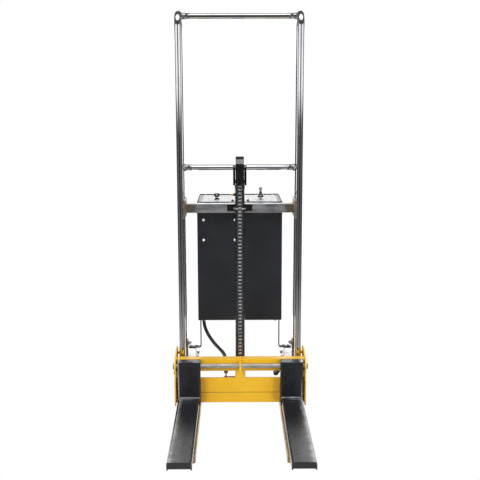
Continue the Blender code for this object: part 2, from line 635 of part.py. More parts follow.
def bracket_uprights(side):
    """The parts that stand on a caster bracket: the ear bolted to the mast and the strap's stand."""
    tag = side_name(side)
    root_z = CASTER_PLATE_HIGH - 0.001
    middle_y = (EAR_FRONT + EAR_REAR) / 2
    radius = (EAR_REAR - EAR_FRONT) / 2
    outline = [(EAR_FRONT, root_z), (EAR_REAR, root_z)] + arc(middle_y, EAR_BOLT_Z, radius, 0, 180, 8)
    low, high = sorted((side * EAR_INNER_X, side * EAR_OUTER_X))
    ear = plate("guide_ear_" + tag, outline, "X", low, high, "zinc")
    spot = (side * (EAR_INNER_X + 0.001), middle_y, EAR_BOLT_Z)
    washer = cylinder("guide_ear_washer_" + tag, spot, (-side, 0, 0), 0.0135, 0.0035, "zinc", 20)
    nut = cylinder("guide_ear_nut_" + tag, spot, (-side, 0, 0), 0.0105, 0.0120, "zinc", 6)
    end = cylinder("guide_ear_bolt_" + tag, spot, (-side, 0, 0), 0.0055, 0.0165, "zinc", 12)
    stand = mirrored_box("guide_stand_" + tag, side, (0.2040, STRAP_FRONT, root_z),
                         (0.2070, STRAP_REAR, STRAP_FOOT_Z - GAP), "zinc")
    shelf = mirrored_box("guide_stand_top_" + tag, side, (0.2040, STRAP_FRONT, STRAP_FOOT_Z - GAP - 0.003),
                         (STRAP_END_X - 0.001, STRAP_REAR, STRAP_FOOT_Z - GAP), "zinc")
    return [ear, washer, nut, end, stand, shelf]


def caster(side, turn):
    """Swivel caster with its fixed bracket, swivel fork, wheel and side brake pedal.

    The swivel fork, wheel and pedal are modelled trailing to +Y about the swivel axis, and
    then turned about it to where they stand at rest. Both casters are the same part, so the
    pedal is on the left of each.
    """
    tag = side_name(side)
    bracket = mirrored_box("caster_bracket_" + tag, side, (0.196, 0.112, CASTER_PLATE_LOW),
                           (0.275, 0.330, CASTER_PLATE_HIGH), "zinc")
    king_pin = cylinder("guide_king_pin_" + tag, (side * CASTER_X, CASTER_Y, CASTER_PLATE_LOW - 0.022),
                        (0, 0, 1), 0.007, 0.026, "zinc", 20)
    pin_head = cylinder("guide_pin_head_" + tag, (side * CASTER_X, CASTER_Y, CASTER_PLATE_LOW - 0.024),
                        (0, 0, 1), 0.011, 0.005, "zinc", 20)
    bolts = []
    for k, (dx, y) in enumerate(((-0.028, 0.235), (0.028, 0.235), (-0.028, 0.305), (0.028, 0.305))):
        bolts.append(cylinder("guide_nut_%s_%d" % (tag, k),
                              (side * CASTER_X + dx, y, CASTER_PLATE_HIGH - 0.002), (0, 0, 1),
                              0.0075, 0.009, "zinc", 6))
    join_solids(bracket, [king_pin, pin_head] + bolts + bracket_uprights(side))

    spin = Matrix.Rotation(turn, 4, "Z")
    hub = Matrix.Translation((side * CASTER_X, CASTER_Y, 0.0)) @ spin

    head_low, head_high = CASTER_PLATE_LOW - 0.0185, CASTER_PLATE_LOW - GAP
    profile = [(0.0073, head_low), (0.030, head_low), (0.033, head_low + 0.006), (0.033, head_high),
               (0.0073, head_high)]
    swivel = turned("caster_fork_" + tag, profile, (0, 0, 0), (0, 0, 1), "zinc", 24)
    arms = []
    outline = [(-0.022, head_low + 0.003), (-0.014, 0.100), (CASTER_TRAIL - 0.013, 0.055)]
    outline += arc(CASTER_TRAIL, CASTER_WHEEL_R, 0.013, 180, 360, 8)
    outline += [(CASTER_TRAIL + 0.013, 0.062), (0.030, head_low + 0.003)]
    for k in (-1, 1):
        low, high = sorted((k * 0.0185, k * 0.0215))
        arms.append(plate("guide_arm_%s_%d" % (tag, k > 0), outline, "X", low, high, "zinc"))
    arms.append(cylinder("guide_wheel_axle_" + tag, (-0.0245, CASTER_TRAIL, CASTER_WHEEL_R), (1, 0, 0),
                         0.005, 0.049, "zinc", 16))
    for y in (0.0165, 0.0455):
        arms.append(box("guide_brake_lug_%s_%d" % (tag, y > 0.03), (BRAKE_PIN_X - 0.007, y, BRAKE_PIN_Z - 0.007),
                        (-0.0195, y + 0.003, BRAKE_PIN_Z + 0.007), "zinc"))
    arms.append(cylinder("guide_brake_pin_" + tag, (BRAKE_PIN_X, 0.0160, BRAKE_PIN_Z), (0, 1, 0), 0.003,
                         0.033, "zinc", 12))
    join_solids(swivel, arms)

    round_r = CASTER_WHEEL_R / math.cos(math.pi / 36)
    profile = [(0.0053, -0.0160), (0.016, -0.0160), (0.018, -0.0130), (0.036, -0.0130), (0.038, -0.0160),
               (round_r - 0.005, -0.0160), (round_r, -0.011), (round_r, 0.011), (round_r - 0.005, 0.0160),
               (0.038, 0.0160), (0.036, 0.0130), (0.018, 0.0130), (0.016, 0.0160), (0.0053, 0.0160)]
    wheel = turned("caster_wheel_" + tag, profile, (0, CASTER_TRAIL, CASTER_WHEEL_R), (1, 0, 0),
                   "black_rubber", 36, half_step=True)

    outline = arc(BRAKE_PIN_X, BRAKE_PIN_Z, 0.0065, -30, 150, 6)
    outline += [(-0.046, 0.0670), (-0.060, 0.0665), (-0.063, 0.0620), (-0.062, 0.0510), (-0.045, 0.0500),
                (-0.036, 0.0640), (-0.027, 0.0790)]
    pedal = plate("caster_brake_" + tag, outline, "Y", 0.0200, 0.0450, "black_rubber")
    bore = cylinder("guide_pedal_bore_" + tag, (BRAKE_PIN_X, 0.01, BRAKE_PIN_Z), (0, 1, 0), 0.0034, 0.05,
                    "black_rubber", 12)
    cut(pedal, [bore])
    for piece in [swivel, wheel, pedal, bore] + arms:
        piece.matrix_world = hub


# ---------------------------------------------------------------- power box

def power_box():
    """Sheet-steel box, open at the top and at the back until its panel and cover close it."""
    shell = box("box_shell", (-BOX_HALF_W, BOX_FRONT, BOX_LOW), (BOX_HALF_W, BOX_REAR, BOX_HIGH),
                "black_paint")
    hollow = box("guide_box_hollow", (-BOX_HALF_W + BOX_WALL, BOX_FRONT + BOX_WALL, BOX_LOW + BOX_WALL),
                 (BOX_HALF_W - BOX_WALL, BOX_REAR + 0.02, BOX_HIGH + 0.02), "black_paint")
    hose_hole = cylinder("guide_hose_hole", (HOSE_TOP[0], HOSE_TOP[1], BOX_LOW - 0.02), (0, 0, 1),
                         0.0125, 0.05, "black_paint", 20)
    cut(shell, [hollow, hose_hole])
    inset = BOX_WALL + GAP
    panel = box("box_top_panel", (-BOX_HALF_W + inset, BOX_FRONT + inset, PANEL_HIGH - PANEL_T),
                (BOX_HALF_W - inset, BOX_REAR - GAP, PANEL_HIGH), "panel_grey")
    holes = [cylinder("guide_key_hole", (KEY_SPOT[0], KEY_SPOT[1], 0.9), (0, 0, 1), 0.0113, 0.05,
                      "panel_grey", 20),
             cylinder("guide_lever_hole", (LEVER_SPOT[0], LEVER_SPOT[1], 0.9), (0, 0, 1), 0.0083, 0.05,
                      "panel_grey", 20)]
    cut(panel, holes)
    box("box_rear_cover", (-BOX_HALF_W, BOX_REAR + GAP, BOX_LOW), (BOX_HALF_W, COVER_REAR, BOX_HIGH),
        "black_paint")
    for side in (-1, 1):
        strap(side)


def strap(side):
    """Thin strap down from the box's bottom, bent outwards to a flat foot on the bracket."""
    top = BOX_LOW - GAP
    outer_x = STRAP_INNER_X + STRAP_T
    bend_x, bend_z = STRAP_INNER_X + STRAP_BEND_R, STRAP_FOOT_Z + STRAP_BEND_R
    outline = [(outer_x, top), (STRAP_INNER_X, top)]
    outline += arc(bend_x, bend_z, STRAP_BEND_R, 180, 270, 6)
    outline += [(STRAP_END_X, STRAP_FOOT_Z), (STRAP_END_X, STRAP_FOOT_Z + STRAP_T)]
    outline += arc(bend_x, bend_z, STRAP_BEND_R - STRAP_T, 270, 180, 6)
    points = [(side * x, z) for x, z in outline]
    piece = plate("box_strap_" + side_name(side), points, "Y", STRAP_FRONT, STRAP_REAR, "black_paint")
    flange = mirrored_box("guide_strap_top_" + side_name(side), side, (0.150, STRAP_FRONT, top - STRAP_T),
                          (outer_x - 0.0005, STRAP_REAR, top), "black_paint")
    join_solids(piece, [flange])


def controls():
    """Key switch and lift lever on the top panel."""
    top = PANEL_HIGH
    x, y = KEY_SPOT
    body = [(0.0, -0.032), (0.0110, -0.032), (0.0110, GAP), (0.0135, GAP), (0.0135, 0.0025), (0.0085, 0.0035),
            (0.0085, 0.0085), (0.0052, 0.0085), (0.0052, -0.016), (0.0, -0.016)]
    turned("key_switch_body", body, (x, y, top), (0, 0, 1), "black_steel", 24)
    shaft = cylinder("key", (x, y, top - 0.0150), (0, 0, 1), 0.0048, 0.0275, "zinc", 16)
    outline = []
    for corner_x, corner_z, start in ((x + 0.0065, top + 0.0220, 0), (x - 0.0065, top + 0.0220, 90),
                                      (x - 0.0065, top + 0.0180, 180), (x + 0.0065, top + 0.0180, 270)):
        outline += arc(corner_x, corner_z, 0.0065, start, start + 90, 5)
    bow = plate("guide_key_bow", outline, "Y", y - 0.0025, y + 0.0025, "zinc")
    join_solids(shaft, [bow])
    base = [(0.0060, -0.020), (0.0080, -0.020), (0.0080, GAP), (0.0125, GAP), (0.0125, 0.0025),
            (0.0092, 0.0035), (0.0092, 0.0062), (0.0068, 0.0062), (0.0052, 0.001), (0.0052, -0.010)]
    turned("lift_lever_base", base, (LEVER_SPOT[0], LEVER_SPOT[1], top), (0, 0, 1), "chrome", 24)
    lever = [(0.0, -0.006), (0.0030, -0.006), (0.0030, 0.0105), (0.0145, 0.0105), (0.0155, 0.0118),
             (0.0150, 0.0138), (0.0105, 0.0240), (0.0072, 0.0325), (0.0055, 0.0380)]
    lever += [(r, z) for z, r in arc(0.0490, 0.0, 0.0085, 146, 12, 8)]
    lever += [(0.0, 0.0575)]
    turned("lift_lever", lever, (LEVER_SPOT[0], LEVER_SPOT[1], top), (0, 0, 1), "chrome", 20)


def power_pack():
    """What the box holds: battery, motor, pump block, tank and contactor."""
    floor = BOX_LOW + BOX_WALL + GAP
    box("battery", (-0.040, 0.150, floor), (0.160, 0.405, floor + 0.225), "battery_case")
    block = box("pump_block", (-0.150, 0.170, 0.540), (-0.075, 0.245, 0.600), "aluminium")
    port = cylinder("guide_pump_port", (HOSE_TOP[0] + 0.040, HOSE_TOP[1], 0.520), (0, 0, 1), 0.0085, 0.03,
                    "aluminium", 16)
    join_solids(block, [port])
    cylinder("pump_motor", (-0.1125, 0.2075, 0.600 + GAP), (0, 0, 1), 0.040, 0.150, "motor_steel", 32)
    box("oil_tank", (-0.165, 0.275, 0.430), (-0.055, 0.395, 0.640), "tank_plastic")
    contactor = cylinder("motor_contactor", (0.060, 0.260, 0.622), (0, 0, 1), 0.024, 0.088, "motor_steel", 24)
    shelf = box("guide_contactor_shelf", (0.030, BOX_FRONT + BOX_WALL + GAP, 0.620), (0.090, 0.290, 0.624), "zinc")
    upright = box("guide_contactor_upright", (0.030, BOX_FRONT + BOX_WALL + GAP, 0.6205),
                  (0.090, BOX_FRONT + 0.0075, 0.720), "zinc")
    join_solids(contactor, [shelf, upright])


def smooth_route(points, steps):
    """Points read from a Catmull-Rom curve through the route."""
    knots = [Vector(p) for p in points]
    knots = [2 * knots[0] - knots[1]] + knots + [2 * knots[-1] - knots[-2]]
    route = []
    for k in range(1, len(knots) - 2):
        a, b, c, d = knots[k - 1:k + 3]
        for step in range(steps):
            t = step / steps
            route.append(0.5 * ((2 * b) + (c - a) * t + (2 * a - 5 * b + 4 * c - d) * t * t
                                + (3 * b - a - 3 * c + d) * t ** 3))
    route.append(knots[-2])
    return route


def hydraulic_hose():
    """Hose from the pump in the box down to the cylinder's foot, with a fitting at each end."""
    curve = bpy.data.curves.new("hydraulic_hose", "CURVE")
    curve.dimensions = "3D"
    curve.bevel_depth = HOSE_R
    curve.bevel_resolution = 3
    curve.use_fill_caps = True
    route = smooth_route(HOSE_ROUTE, 2)
    spline = curve.splines.new("POLY")
    spline.points.add(len(route) - 1)
    for point, spot in zip(spline.points, route):
        point.co = (*spot, 1.0)
    hose = bpy.data.objects.new("hydraulic_hose", curve)
    curve.materials.append(material("black_rubber"))
    bpy.context.scene.collection.objects.link(hose)
    x, y = HOSE_LOW
    profile = [(0.0, 0.0), (0.0050, 0.0), (0.0050, 0.003), (0.0032, 0.003), (0.0032, 0.018),
               (0.0090, 0.018), (0.0095, 0.026), (0.0075, HOSE_END_Z - CYL_FOOT_Z - 0.0063 - 2 * GAP),
               (0.0, HOSE_END_Z - CYL_FOOT_Z - 0.0063 - 2 * GAP)]
    turned("hose_fitting_lower", profile, (x, y, CYL_FOOT_Z + 0.0063), (0, 0, 1), "brass", 20)
    top_x, top_y, top_z = HOSE_ROUTE[0]
    profile = [(0.0, top_z + GAP), (0.0090, top_z + GAP), (0.0090, top_z + 0.026), (0.0120, top_z + 0.026),
               (0.0120, top_z + 0.040), (0.0, top_z + 0.040)]
    turned("hose_fitting_upper", profile, (top_x, top_y, 0.0), (0, 0, 1), "brass", 20)


def bleed_fitting():
    """Brass bleed screw with its elbow, on the cylinder just below the gland."""
    profile = [(0.0, 0.0), (0.0065, 0.0), (0.0065, 0.006), (0.0050, 0.006), (0.0050, 0.015), (0.0036, 0.016),
               (0.0036, 0.0205), (0.0, 0.0205)]
    turned("bleed_fitting", profile, (-CYL_R - GAP, CYL_Y, 0.9705), (-1, 0, 0), "brass", 16)


def move_to_row_frame():
    for piece in bpy.context.scene.objects:
        piece.matrix_world = Matrix.Translation((0, MAST_Y, 0)) @ piece.matrix_world


clear_scene()
base_frame()
masts()
crossbar("top_crossbar", TOP_BAR_Y, TOP_BAR_Z)
crossbar("middle_crossbar", rear_leg_y(MIDDLE_BAR_Z), MIDDLE_BAR_Z)
cross_member()
lift_cylinder()
cylinder_clamp()
lift_chain()
ram()
carriage_frame()
carriage_trim()
guide_rollers()
forks()
load_rollers()
caster(-1, LEFT_CASTER_TURN)
caster(1, RIGHT_CASTER_TURN)
power_box()
controls()
power_pack()
hydraulic_hose()
bleed_fitting()
move_to_row_frame()
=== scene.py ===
import json
import math
import random

import bmesh
import bpy
from mathutils import Matrix, Vector

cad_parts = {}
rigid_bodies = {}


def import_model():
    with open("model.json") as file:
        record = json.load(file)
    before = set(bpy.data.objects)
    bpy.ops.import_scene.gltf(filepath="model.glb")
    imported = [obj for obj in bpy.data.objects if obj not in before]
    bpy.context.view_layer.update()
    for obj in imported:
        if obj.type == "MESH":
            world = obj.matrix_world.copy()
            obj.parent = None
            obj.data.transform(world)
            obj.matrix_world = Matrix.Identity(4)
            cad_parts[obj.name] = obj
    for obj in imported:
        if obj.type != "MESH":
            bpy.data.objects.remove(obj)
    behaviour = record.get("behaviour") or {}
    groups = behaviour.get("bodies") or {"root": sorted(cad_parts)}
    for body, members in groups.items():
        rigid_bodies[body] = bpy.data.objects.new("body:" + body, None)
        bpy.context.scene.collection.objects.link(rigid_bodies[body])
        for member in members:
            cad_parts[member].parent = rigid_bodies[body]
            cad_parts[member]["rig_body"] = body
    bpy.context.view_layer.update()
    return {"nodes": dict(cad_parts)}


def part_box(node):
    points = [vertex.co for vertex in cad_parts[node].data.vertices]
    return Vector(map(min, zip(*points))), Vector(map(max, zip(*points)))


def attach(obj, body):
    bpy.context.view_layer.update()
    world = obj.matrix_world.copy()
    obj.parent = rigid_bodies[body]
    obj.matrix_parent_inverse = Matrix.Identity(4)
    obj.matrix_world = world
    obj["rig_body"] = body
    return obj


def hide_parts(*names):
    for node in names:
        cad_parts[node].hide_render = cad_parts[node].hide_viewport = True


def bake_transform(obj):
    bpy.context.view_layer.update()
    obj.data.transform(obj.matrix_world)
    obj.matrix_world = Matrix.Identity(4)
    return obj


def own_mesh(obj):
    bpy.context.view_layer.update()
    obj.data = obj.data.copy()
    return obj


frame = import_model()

NODES = frame["nodes"]

# ---- sizes shared with the CAD, in metres
MAST_X, FRONT_LEG_Y = 0.258, 0.15
TUBE_R, BEND_R = 0.01425, 0.049
STRAIGHT_TOP_Z = 1.683
REAR_FOOT_Y, REAR_FOOT_Z = 0.29, 0.165
FRONT_FOOT_Z = 0.0503
TOP_BAR_Y, TOP_BAR_Z = 0.225, 1.7265
MIDDLE_BAR_Z = 1.08
BAR_R = 0.0125
MEMBER_Y = (0.184, 0.224)
MEMBER_Z = (0.8875, 0.9275)
TAB_X, TAB_Z = 0.2434, (0.868, 0.95)
CYL_Y, CYL_R = 0.162, 0.021
PULLEY_Z, CHAIN_R = 1.088, 0.038
BOX_HALF_W, BOX_FRONT, BOX_REAR = 0.192, 0.28, 0.582
BOX_LOW = 0.374
PANEL_Z = 0.9205
KEY_SPOT = Vector((-0.105, 0.4, PANEL_Z))
LEVER_SPOT = Vector((0.098, 0.4, PANEL_Z))
INLET_SPOT = (0.12, BOX_REAR, 0.8)
FORK_X = (0.174, 0.274)
FORK_EDGES = (0.174, 0.181, 0.274)
HOSE_ROUTE = [(-0.1685, 0.35, 0.3735), (-0.1685, 0.35, 0.361), (-0.1685, 0.35, 0.348),
              (-0.163, 0.344, 0.32), (-0.147, 0.326, 0.29), (-0.123, 0.296, 0.264),
              (-0.098, 0.258, 0.248), (-0.077, 0.214, 0.239), (-0.0665, 0.184, 0.224),
              (-0.0645, 0.168, 0.204), (-0.0645, 0.168, 0.19), (-0.0645, 0.168, 0.177)]
HOSE_R = 0.0078
FOLD_Z = 0.1                # height at rest of the fold across the carriage's lower plate

# ---- sizes of the chain and of details, in metres
PITCH = 0.015875
FIRST_PIN_Z = 0.2015
FRONT_RUN_Y, REAR_RUN_Y = CYL_Y - CHAIN_R, CYL_Y + CHAIN_R
WRAP = math.pi * CHAIN_R
CHAIN_END_Z = 0.96          # where the rear run is anchored
RAM_TRAVEL = 0.7
CARRIAGE_LINKS = 10
REAR_FIXED_LINKS = 4
STRETCH_HALF = 0.036        # half of the height at rest of the packed part of the rear run
LINK_HALF = 0.0058          # half of a link plate's height at its pins
LINK_X, PLATE, ROLLER_R = 0.0047, 0.002, 0.00508
U_BOLT_R, U_BOLT_Z = 0.0254, 0.911
WELD_OUT = 0.0072           # from a tube's middle line, or the tab's face, to the weld beside it
SLEEVE_END = 0.0345         # from the sleeve's hidden end to its face on the crossbar
FORK_ROUND, FORK_SOFT = 0.0075, 0.0009
STRAP_Y = 0.3125
SIDES = (-1, 1)
TAGS = (("left", -1), ("right", 1))
UP = (0, 0, 1)

# ---- levels of the studio
CAMERA_SPOT, CAMERA_LENS, SENSOR = (-0.023, -3.284, 1.378), 59.82, 36.0
CAMERA_PAN, CAMERA_TILT, CAMERA_ROLL = -0.39, 80.0, -0.14      # in degrees
FLOOR_HALF, FLOOR_Z, FLOOR_GREY = 12.0, -0.0004, (0.82, 0.82, 0.82)
CARD_HALF, CARD_Y, CARD_LOW, CARD_HIGH = 2.6, 2.3, -1.6, 1.9
LAMP_AIM = Vector((0, 0.1, 0.6))
# greys of the studio below the horizon by height (0.5 is the horizon), and above it by the turn from the
# camera's side (0) to the back (1)
HEIGHT_STOPS = [(0.0, 0.48), (0.24, 0.4), (0.345, 0.36), (0.365, 0.3), (0.39, 0.13), (0.42, 0.1),
                (0.5, 0.1)]
TURN_STOPS = [(0.0, 0.02), (0.05, 0.05), (0.09, 0.8), (0.2, 1.1), (0.42, 1.1), (0.5, 0.16),
              (0.82, 0.1), (1.0, 0.22)]
OVERHEAD_LEVEL, BAND_LEVEL, BACKDROP_LEVEL = 1.6, 0.1, 1.6
# where each part of the studio fades in, as (out, full): by height, by y, or by the turn from the camera
HORIZON, BAND_RISE, OVERHEAD_RISE, OVERHEAD_Y = (-0.02, 0.05), (0.15, 0.24), (0.61, 0.73), (0.2, 0.02)
CORE_TURN, CORE_DROP = (0.045, 0.075), (-0.24, -0.32)
AMBIENT_TOP, AMBIENT_LOW = 0.62, 0.38


# ---- node graphs

class Graph:
    """The shader graph of a material or world, with short ways to add its nodes."""

    def __init__(self, owner):
        owner.use_nodes = True
        self.nodes, self.links = owner.node_tree.nodes, owner.node_tree.links

    def feed(self, socket, value):
        if isinstance(value, tuple):
            socket.default_value = (*value, 1.0) if len(value) == 3 else value
        elif isinstance(value, (int, float)):
            socket.default_value = value
        else:
            self.links.new(value, socket)

    def fill(self, node, **sockets):
        for name, value in sockets.items():
            self.feed(node.inputs[name.replace("_", " ")], value)
        return node

    def add(self, kind, **sockets):
        return self.fill(self.nodes.new("ShaderNode" + kind), **sockets)

    def maths(self, operation, *values):
        node = self.add("Math")
        node.operation = operation
        for socket, value in zip(node.inputs, values):
            self.feed(socket, value)
        return node.outputs[0]

    def times(self, a, b):
        return self.maths("MULTIPLY", a, b)

    def lerp(self, share, a, b):
        return self.maths("ADD", self.times(a, self.maths("SUBTRACT", 1.0, share)), self.times(b, share))

    def span(self, value, low, high, to_low=0.0, to_high=1.0):
        """A value taken smoothly from one range to another."""
        node = self.add("MapRange", Value=value, From_Min=low, From_Max=high, To_Min=to_low, To_Max=to_high)
        node.interpolation_type = "SMOOTHSTEP"
        return node.outputs[0]

    def ramp(self, source, stops):
        """A ramp of greys over a value from 0 to 1."""
        node = self.add("ValToRGB", Fac=source)
        elements = node.color_ramp.elements
        while len(elements) < len(stops):
            elements.new(0.5)
        for element, (place, level) in zip(elements, stops):
            element.position = place
            element.color = (level, level, level, 1.0)
        return node.outputs[0]


class Finish(Graph):
    """A procedural finish. Its textures are read from the object's own place, in metres."""

    def __init__(self, name, **sockets):
        self.material = bpy.data.materials.new(name)
        super().__init__(self.material)
        self.shader = self.fill(self.nodes["Principled BSDF"], **sockets)
        self.place = self.add("TexCoord").outputs["Object"]

    def stretched(self, stretch):
        node = self.add("Mapping", Vector=self.place)
        node.inputs["Scale"].default_value = stretch
        return node.outputs[0]

    def noise(self, scale, detail=2.0, stretch=None, rough=0.5, seed=0.0):
        node = self.add("TexNoise")
        node.noise_dimensions = "4D"
        self.fill(node, Vector=self.stretched(stretch) if stretch else self.place, W=seed, Scale=scale,
                  Detail=detail, Roughness=rough)
        return node.outputs["Fac"]

    def cloud(self, bounds, *scale_and_detail, **settings):
        """Noise taken smoothly from the first two bounds to the others, or to 0 and 1."""
        return self.span(self.noise(*scale_and_detail, **settings), *bounds)

    def cells(self, scale):
        return self.add("TexVoronoi", Vector=self.place, Scale=scale).outputs["Distance"]

    def mix(self, share, a, b):
        node = self.add("Mix")
        node.data_type = "RGBA"
        for socket, value in ((0, share), (6, a), (7, b)):
            self.feed(node.inputs[socket], value)
        return node.outputs[2]

    def part(self, axis):
        """One coordinate of the place, in metres."""
        return self.add("SeparateXYZ", Vector=self.place).outputs[axis]

    def wide(self):
        """The distance from the middle plane, in metres."""
        return self.maths("ABSOLUTE", self.part("X"))

    def facing_up(self):
        return self.add("SeparateXYZ", Vector=self.add("NewGeometry").outputs["Normal"]).outputs["Z"]

    def worn(self, scale, low, high, seed=0.0):
        """Where the paint is rubbed: on the rounded edges, in patches."""
        node = self.add("Attribute")
        node.attribute_name = "wear"
        patches = self.cloud((low, high), scale, 5, seed=seed, rough=0.65)
        return self.times(node.outputs["Fac"], patches)

    def colour(self, value):
        self.feed(self.shader.inputs["Base Color"], value)

    def rough(self, value):
        self.feed(self.shader.inputs["Roughness"], value)

    def relief(self, *layers):
        """Bump layers, each a height from 0 to 1 and its depth in metres."""
        below = None
        for height, depth in layers:
            node = self.add("Bump", Distance=depth, Height=height)
            if below:
                self.links.new(below, node.inputs["Normal"])
            below = node.outputs[0]
        self.links.new(below, self.shader.inputs["Normal"])
        return self


# ---- camera, floor and light

def in_scene(made):
    bpy.context.scene.collection.objects.link(made)
    return made


def make_camera():
    bpy.context.scene.view_settings.view_transform = "Standard"
    bpy.context.scene.view_settings.look = "None"
    data = bpy.data.cameras.new("camera")
    data.sensor_width = SENSOR
    data.lens = CAMERA_LENS
    camera = in_scene(bpy.data.objects.new("camera", data))
    camera.matrix_world = Matrix.Translation(CAMERA_SPOT)
    for degrees, axis in ((CAMERA_PAN, "Z"), (CAMERA_TILT, "X"), (CAMERA_ROLL, "Z")):
        camera.matrix_world = camera.matrix_world @ Matrix.Rotation(math.radians(degrees), 4, axis)
    bpy.context.scene.camera = camera


def studio_sheet(name, corners, unseen_by):
    """A flat sheet that some kinds of ray pass through, and the empty graph of its material."""
    bm = bmesh.new()
    bm.faces.new([bm.verts.new(corner) for corner in corners])
    mesh = bpy.data.meshes.new(name)
    bm.to_mesh(mesh)
    bm.free()
    sheet = in_scene(bpy.data.objects.new(name, mesh))
    for ray in unseen_by:
        setattr(sheet, "visible_" + ray, False)
    material = bpy.data.materials.new(name + "_white")
    mesh.materials.append(material)
    graph = Graph(material)
    graph.nodes.clear()
    return sheet, graph


def make_floor():
    """A plain white floor. Mirror-like parts see the studio instead of it."""
    corners = [(x * FLOOR_HALF, y * FLOOR_HALF, FLOOR_Z) for x, y in ((-1, -1), (1, -1), (1, 1), (-1, 1))]
    floor, graph = studio_sheet("floor", corners, ("glossy",))
    mixer = graph.add("MixShader")
    graph.feed(mixer.inputs[0], graph.add("LightPath").outputs["Is Camera Ray"])
    graph.feed(mixer.inputs[1], graph.add("BsdfDiffuse", Color=FLOOR_GREY).outputs[0])
    graph.feed(mixer.inputs[2], graph.add("Emission").outputs[0])
    graph.add("OutputMaterial", Surface=mixer.outputs[0])


def make_backdrop():
    """A white card behind the object that only shiny surfaces see; above it the studio is dark."""
    corners = [(-CARD_HALF, CARD_Y, CARD_LOW), (CARD_HALF, CARD_Y, CARD_LOW),
               (CARD_HALF, CARD_Y, CARD_HIGH), (-CARD_HALF, CARD_Y, CARD_HIGH)]
    card, graph = studio_sheet("backdrop", corners,
                               ("camera", "diffuse", "shadow", "transmission", "volume_scatter"))
    graph.add("OutputMaterial", Surface=graph.add("Emission", Strength=BACKDROP_LEVEL).outputs[0])


def make_world():
    """White for the camera, even light for matt surfaces, and a studio with dark gaps for shiny ones."""
    world = bpy.data.worlds.new("studio")
    bpy.context.scene.world = world
    g = Graph(world)
    g.nodes.clear()
    x, y, z = g.add("SeparateXYZ", Vector=g.add("TexCoord").outputs["Generated"]).outputs
    turn = g.maths("DIVIDE", g.maths("ABSOLUTE", g.maths("ARCTAN2", x, g.times(y, -1.0))), math.pi)
    floor_side = g.ramp(g.maths("MULTIPLY_ADD", z, 0.5, 0.5), HEIGHT_STOPS)
    boxes = g.lerp(g.span(z, *BAND_RISE), g.ramp(turn, TURN_STOPS), BAND_LEVEL)
    overhead = g.times(g.span(z, *OVERHEAD_RISE), g.span(y, *OVERHEAD_Y))
    front = g.lerp(g.span(z, *HORIZON), floor_side, boxes)
    core = g.maths("MAXIMUM", g.span(turn, *CORE_TURN), g.span(z, *CORE_DROP))
    shine = g.lerp(overhead, g.times(front, core), OVERHEAD_LEVEL)

    path = g.add("LightPath")
    matt = g.maths("MULTIPLY_ADD", g.span(z, -1.0, 1.0), AMBIENT_TOP - AMBIENT_LOW, AMBIENT_LOW)
    level = g.lerp(path.outputs["Is Glossy Ray"], matt, shine)
    level = g.lerp(path.outputs["Is Camera Ray"], level, 1.0)
    background = g.add("Background", Color=level, Strength=1.0)
    g.add("OutputWorld", Surface=background.outputs[0])


def make_lights():
    for name, spot, size, power in (("key", (-2.0, -2.8, 2.7), 2.2, 92.0),
                                    ("fill", (2.4, -2.6, 1.9), 2.2, 56.0),
                                    ("top", (0.0, 0.2, 3.6), 2.4, 46.0),
                                    ("rear", (1.0, 3.2, 2.4), 2.2, 60.0)):
        light = bpy.data.lights.new(name, "AREA")
        light.shape = "DISK"
        light.size = size
        light.energy = power
        lamp = in_scene(bpy.data.objects.new(name, light))
        lamp.location = spot
        lamp.rotation_mode = "QUATERNION"
        lamp.rotation_quaternion = (LAMP_AIM - Vector(spot)).to_track_quat("-Z", "Y")
        lamp.visible_glossy = False
        lamp.visible_camera = False


# ---- finishes

def chrome_finish():
    f = Finish("chrome_plate", Metallic=1.0)
    cloud, streak = f.noise(11.0, 4), f.noise(60.0, 2, (1.0, 1.0, 0.03))
    f.colour(f.mix(f.span(cloud, 0.4, 0.72), (0.8, 0.81, 0.83), (0.68, 0.69, 0.72)))
    f.rough(f.cloud((0.34, 0.72, 0.035, 0.115), 19.0, 5, rough=0.65))
    return f.relief((f.noise(9.0, 1, (1.0, 1.0, 0.1), seed=3), 0.0002), (streak, 0.000006))


def steel_finish(name, light, dark, low, high, grain=260.0, tint=None, metallic=1.0):
    """Zinc-plated or bare steel: clouded, a little matt, with fine grain."""
    f = Finish(name, Metallic=metallic)
    patches = f.cloud((0.36, 0.68), 34.0, 5, rough=0.6)
    colour = f.mix(patches, light, dark)
    if tint:
        colour = f.mix(f.cloud((0.45, 0.75, 0.0, 0.5), 60.0, 3, seed=8), colour, tint)
    colour = f.mix(f.worn(190.0, 0.4, 0.62, seed=2), colour, tuple(min(1.0, v * 1.25) for v in light))
    f.colour(colour)
    f.rough(f.cloud((0.32, 0.72, low, high), 95.0, 5, seed=5))
    return f.relief((f.noise(grain, 3), 0.000045), (f.noise(1300.0, 2), 0.00001))


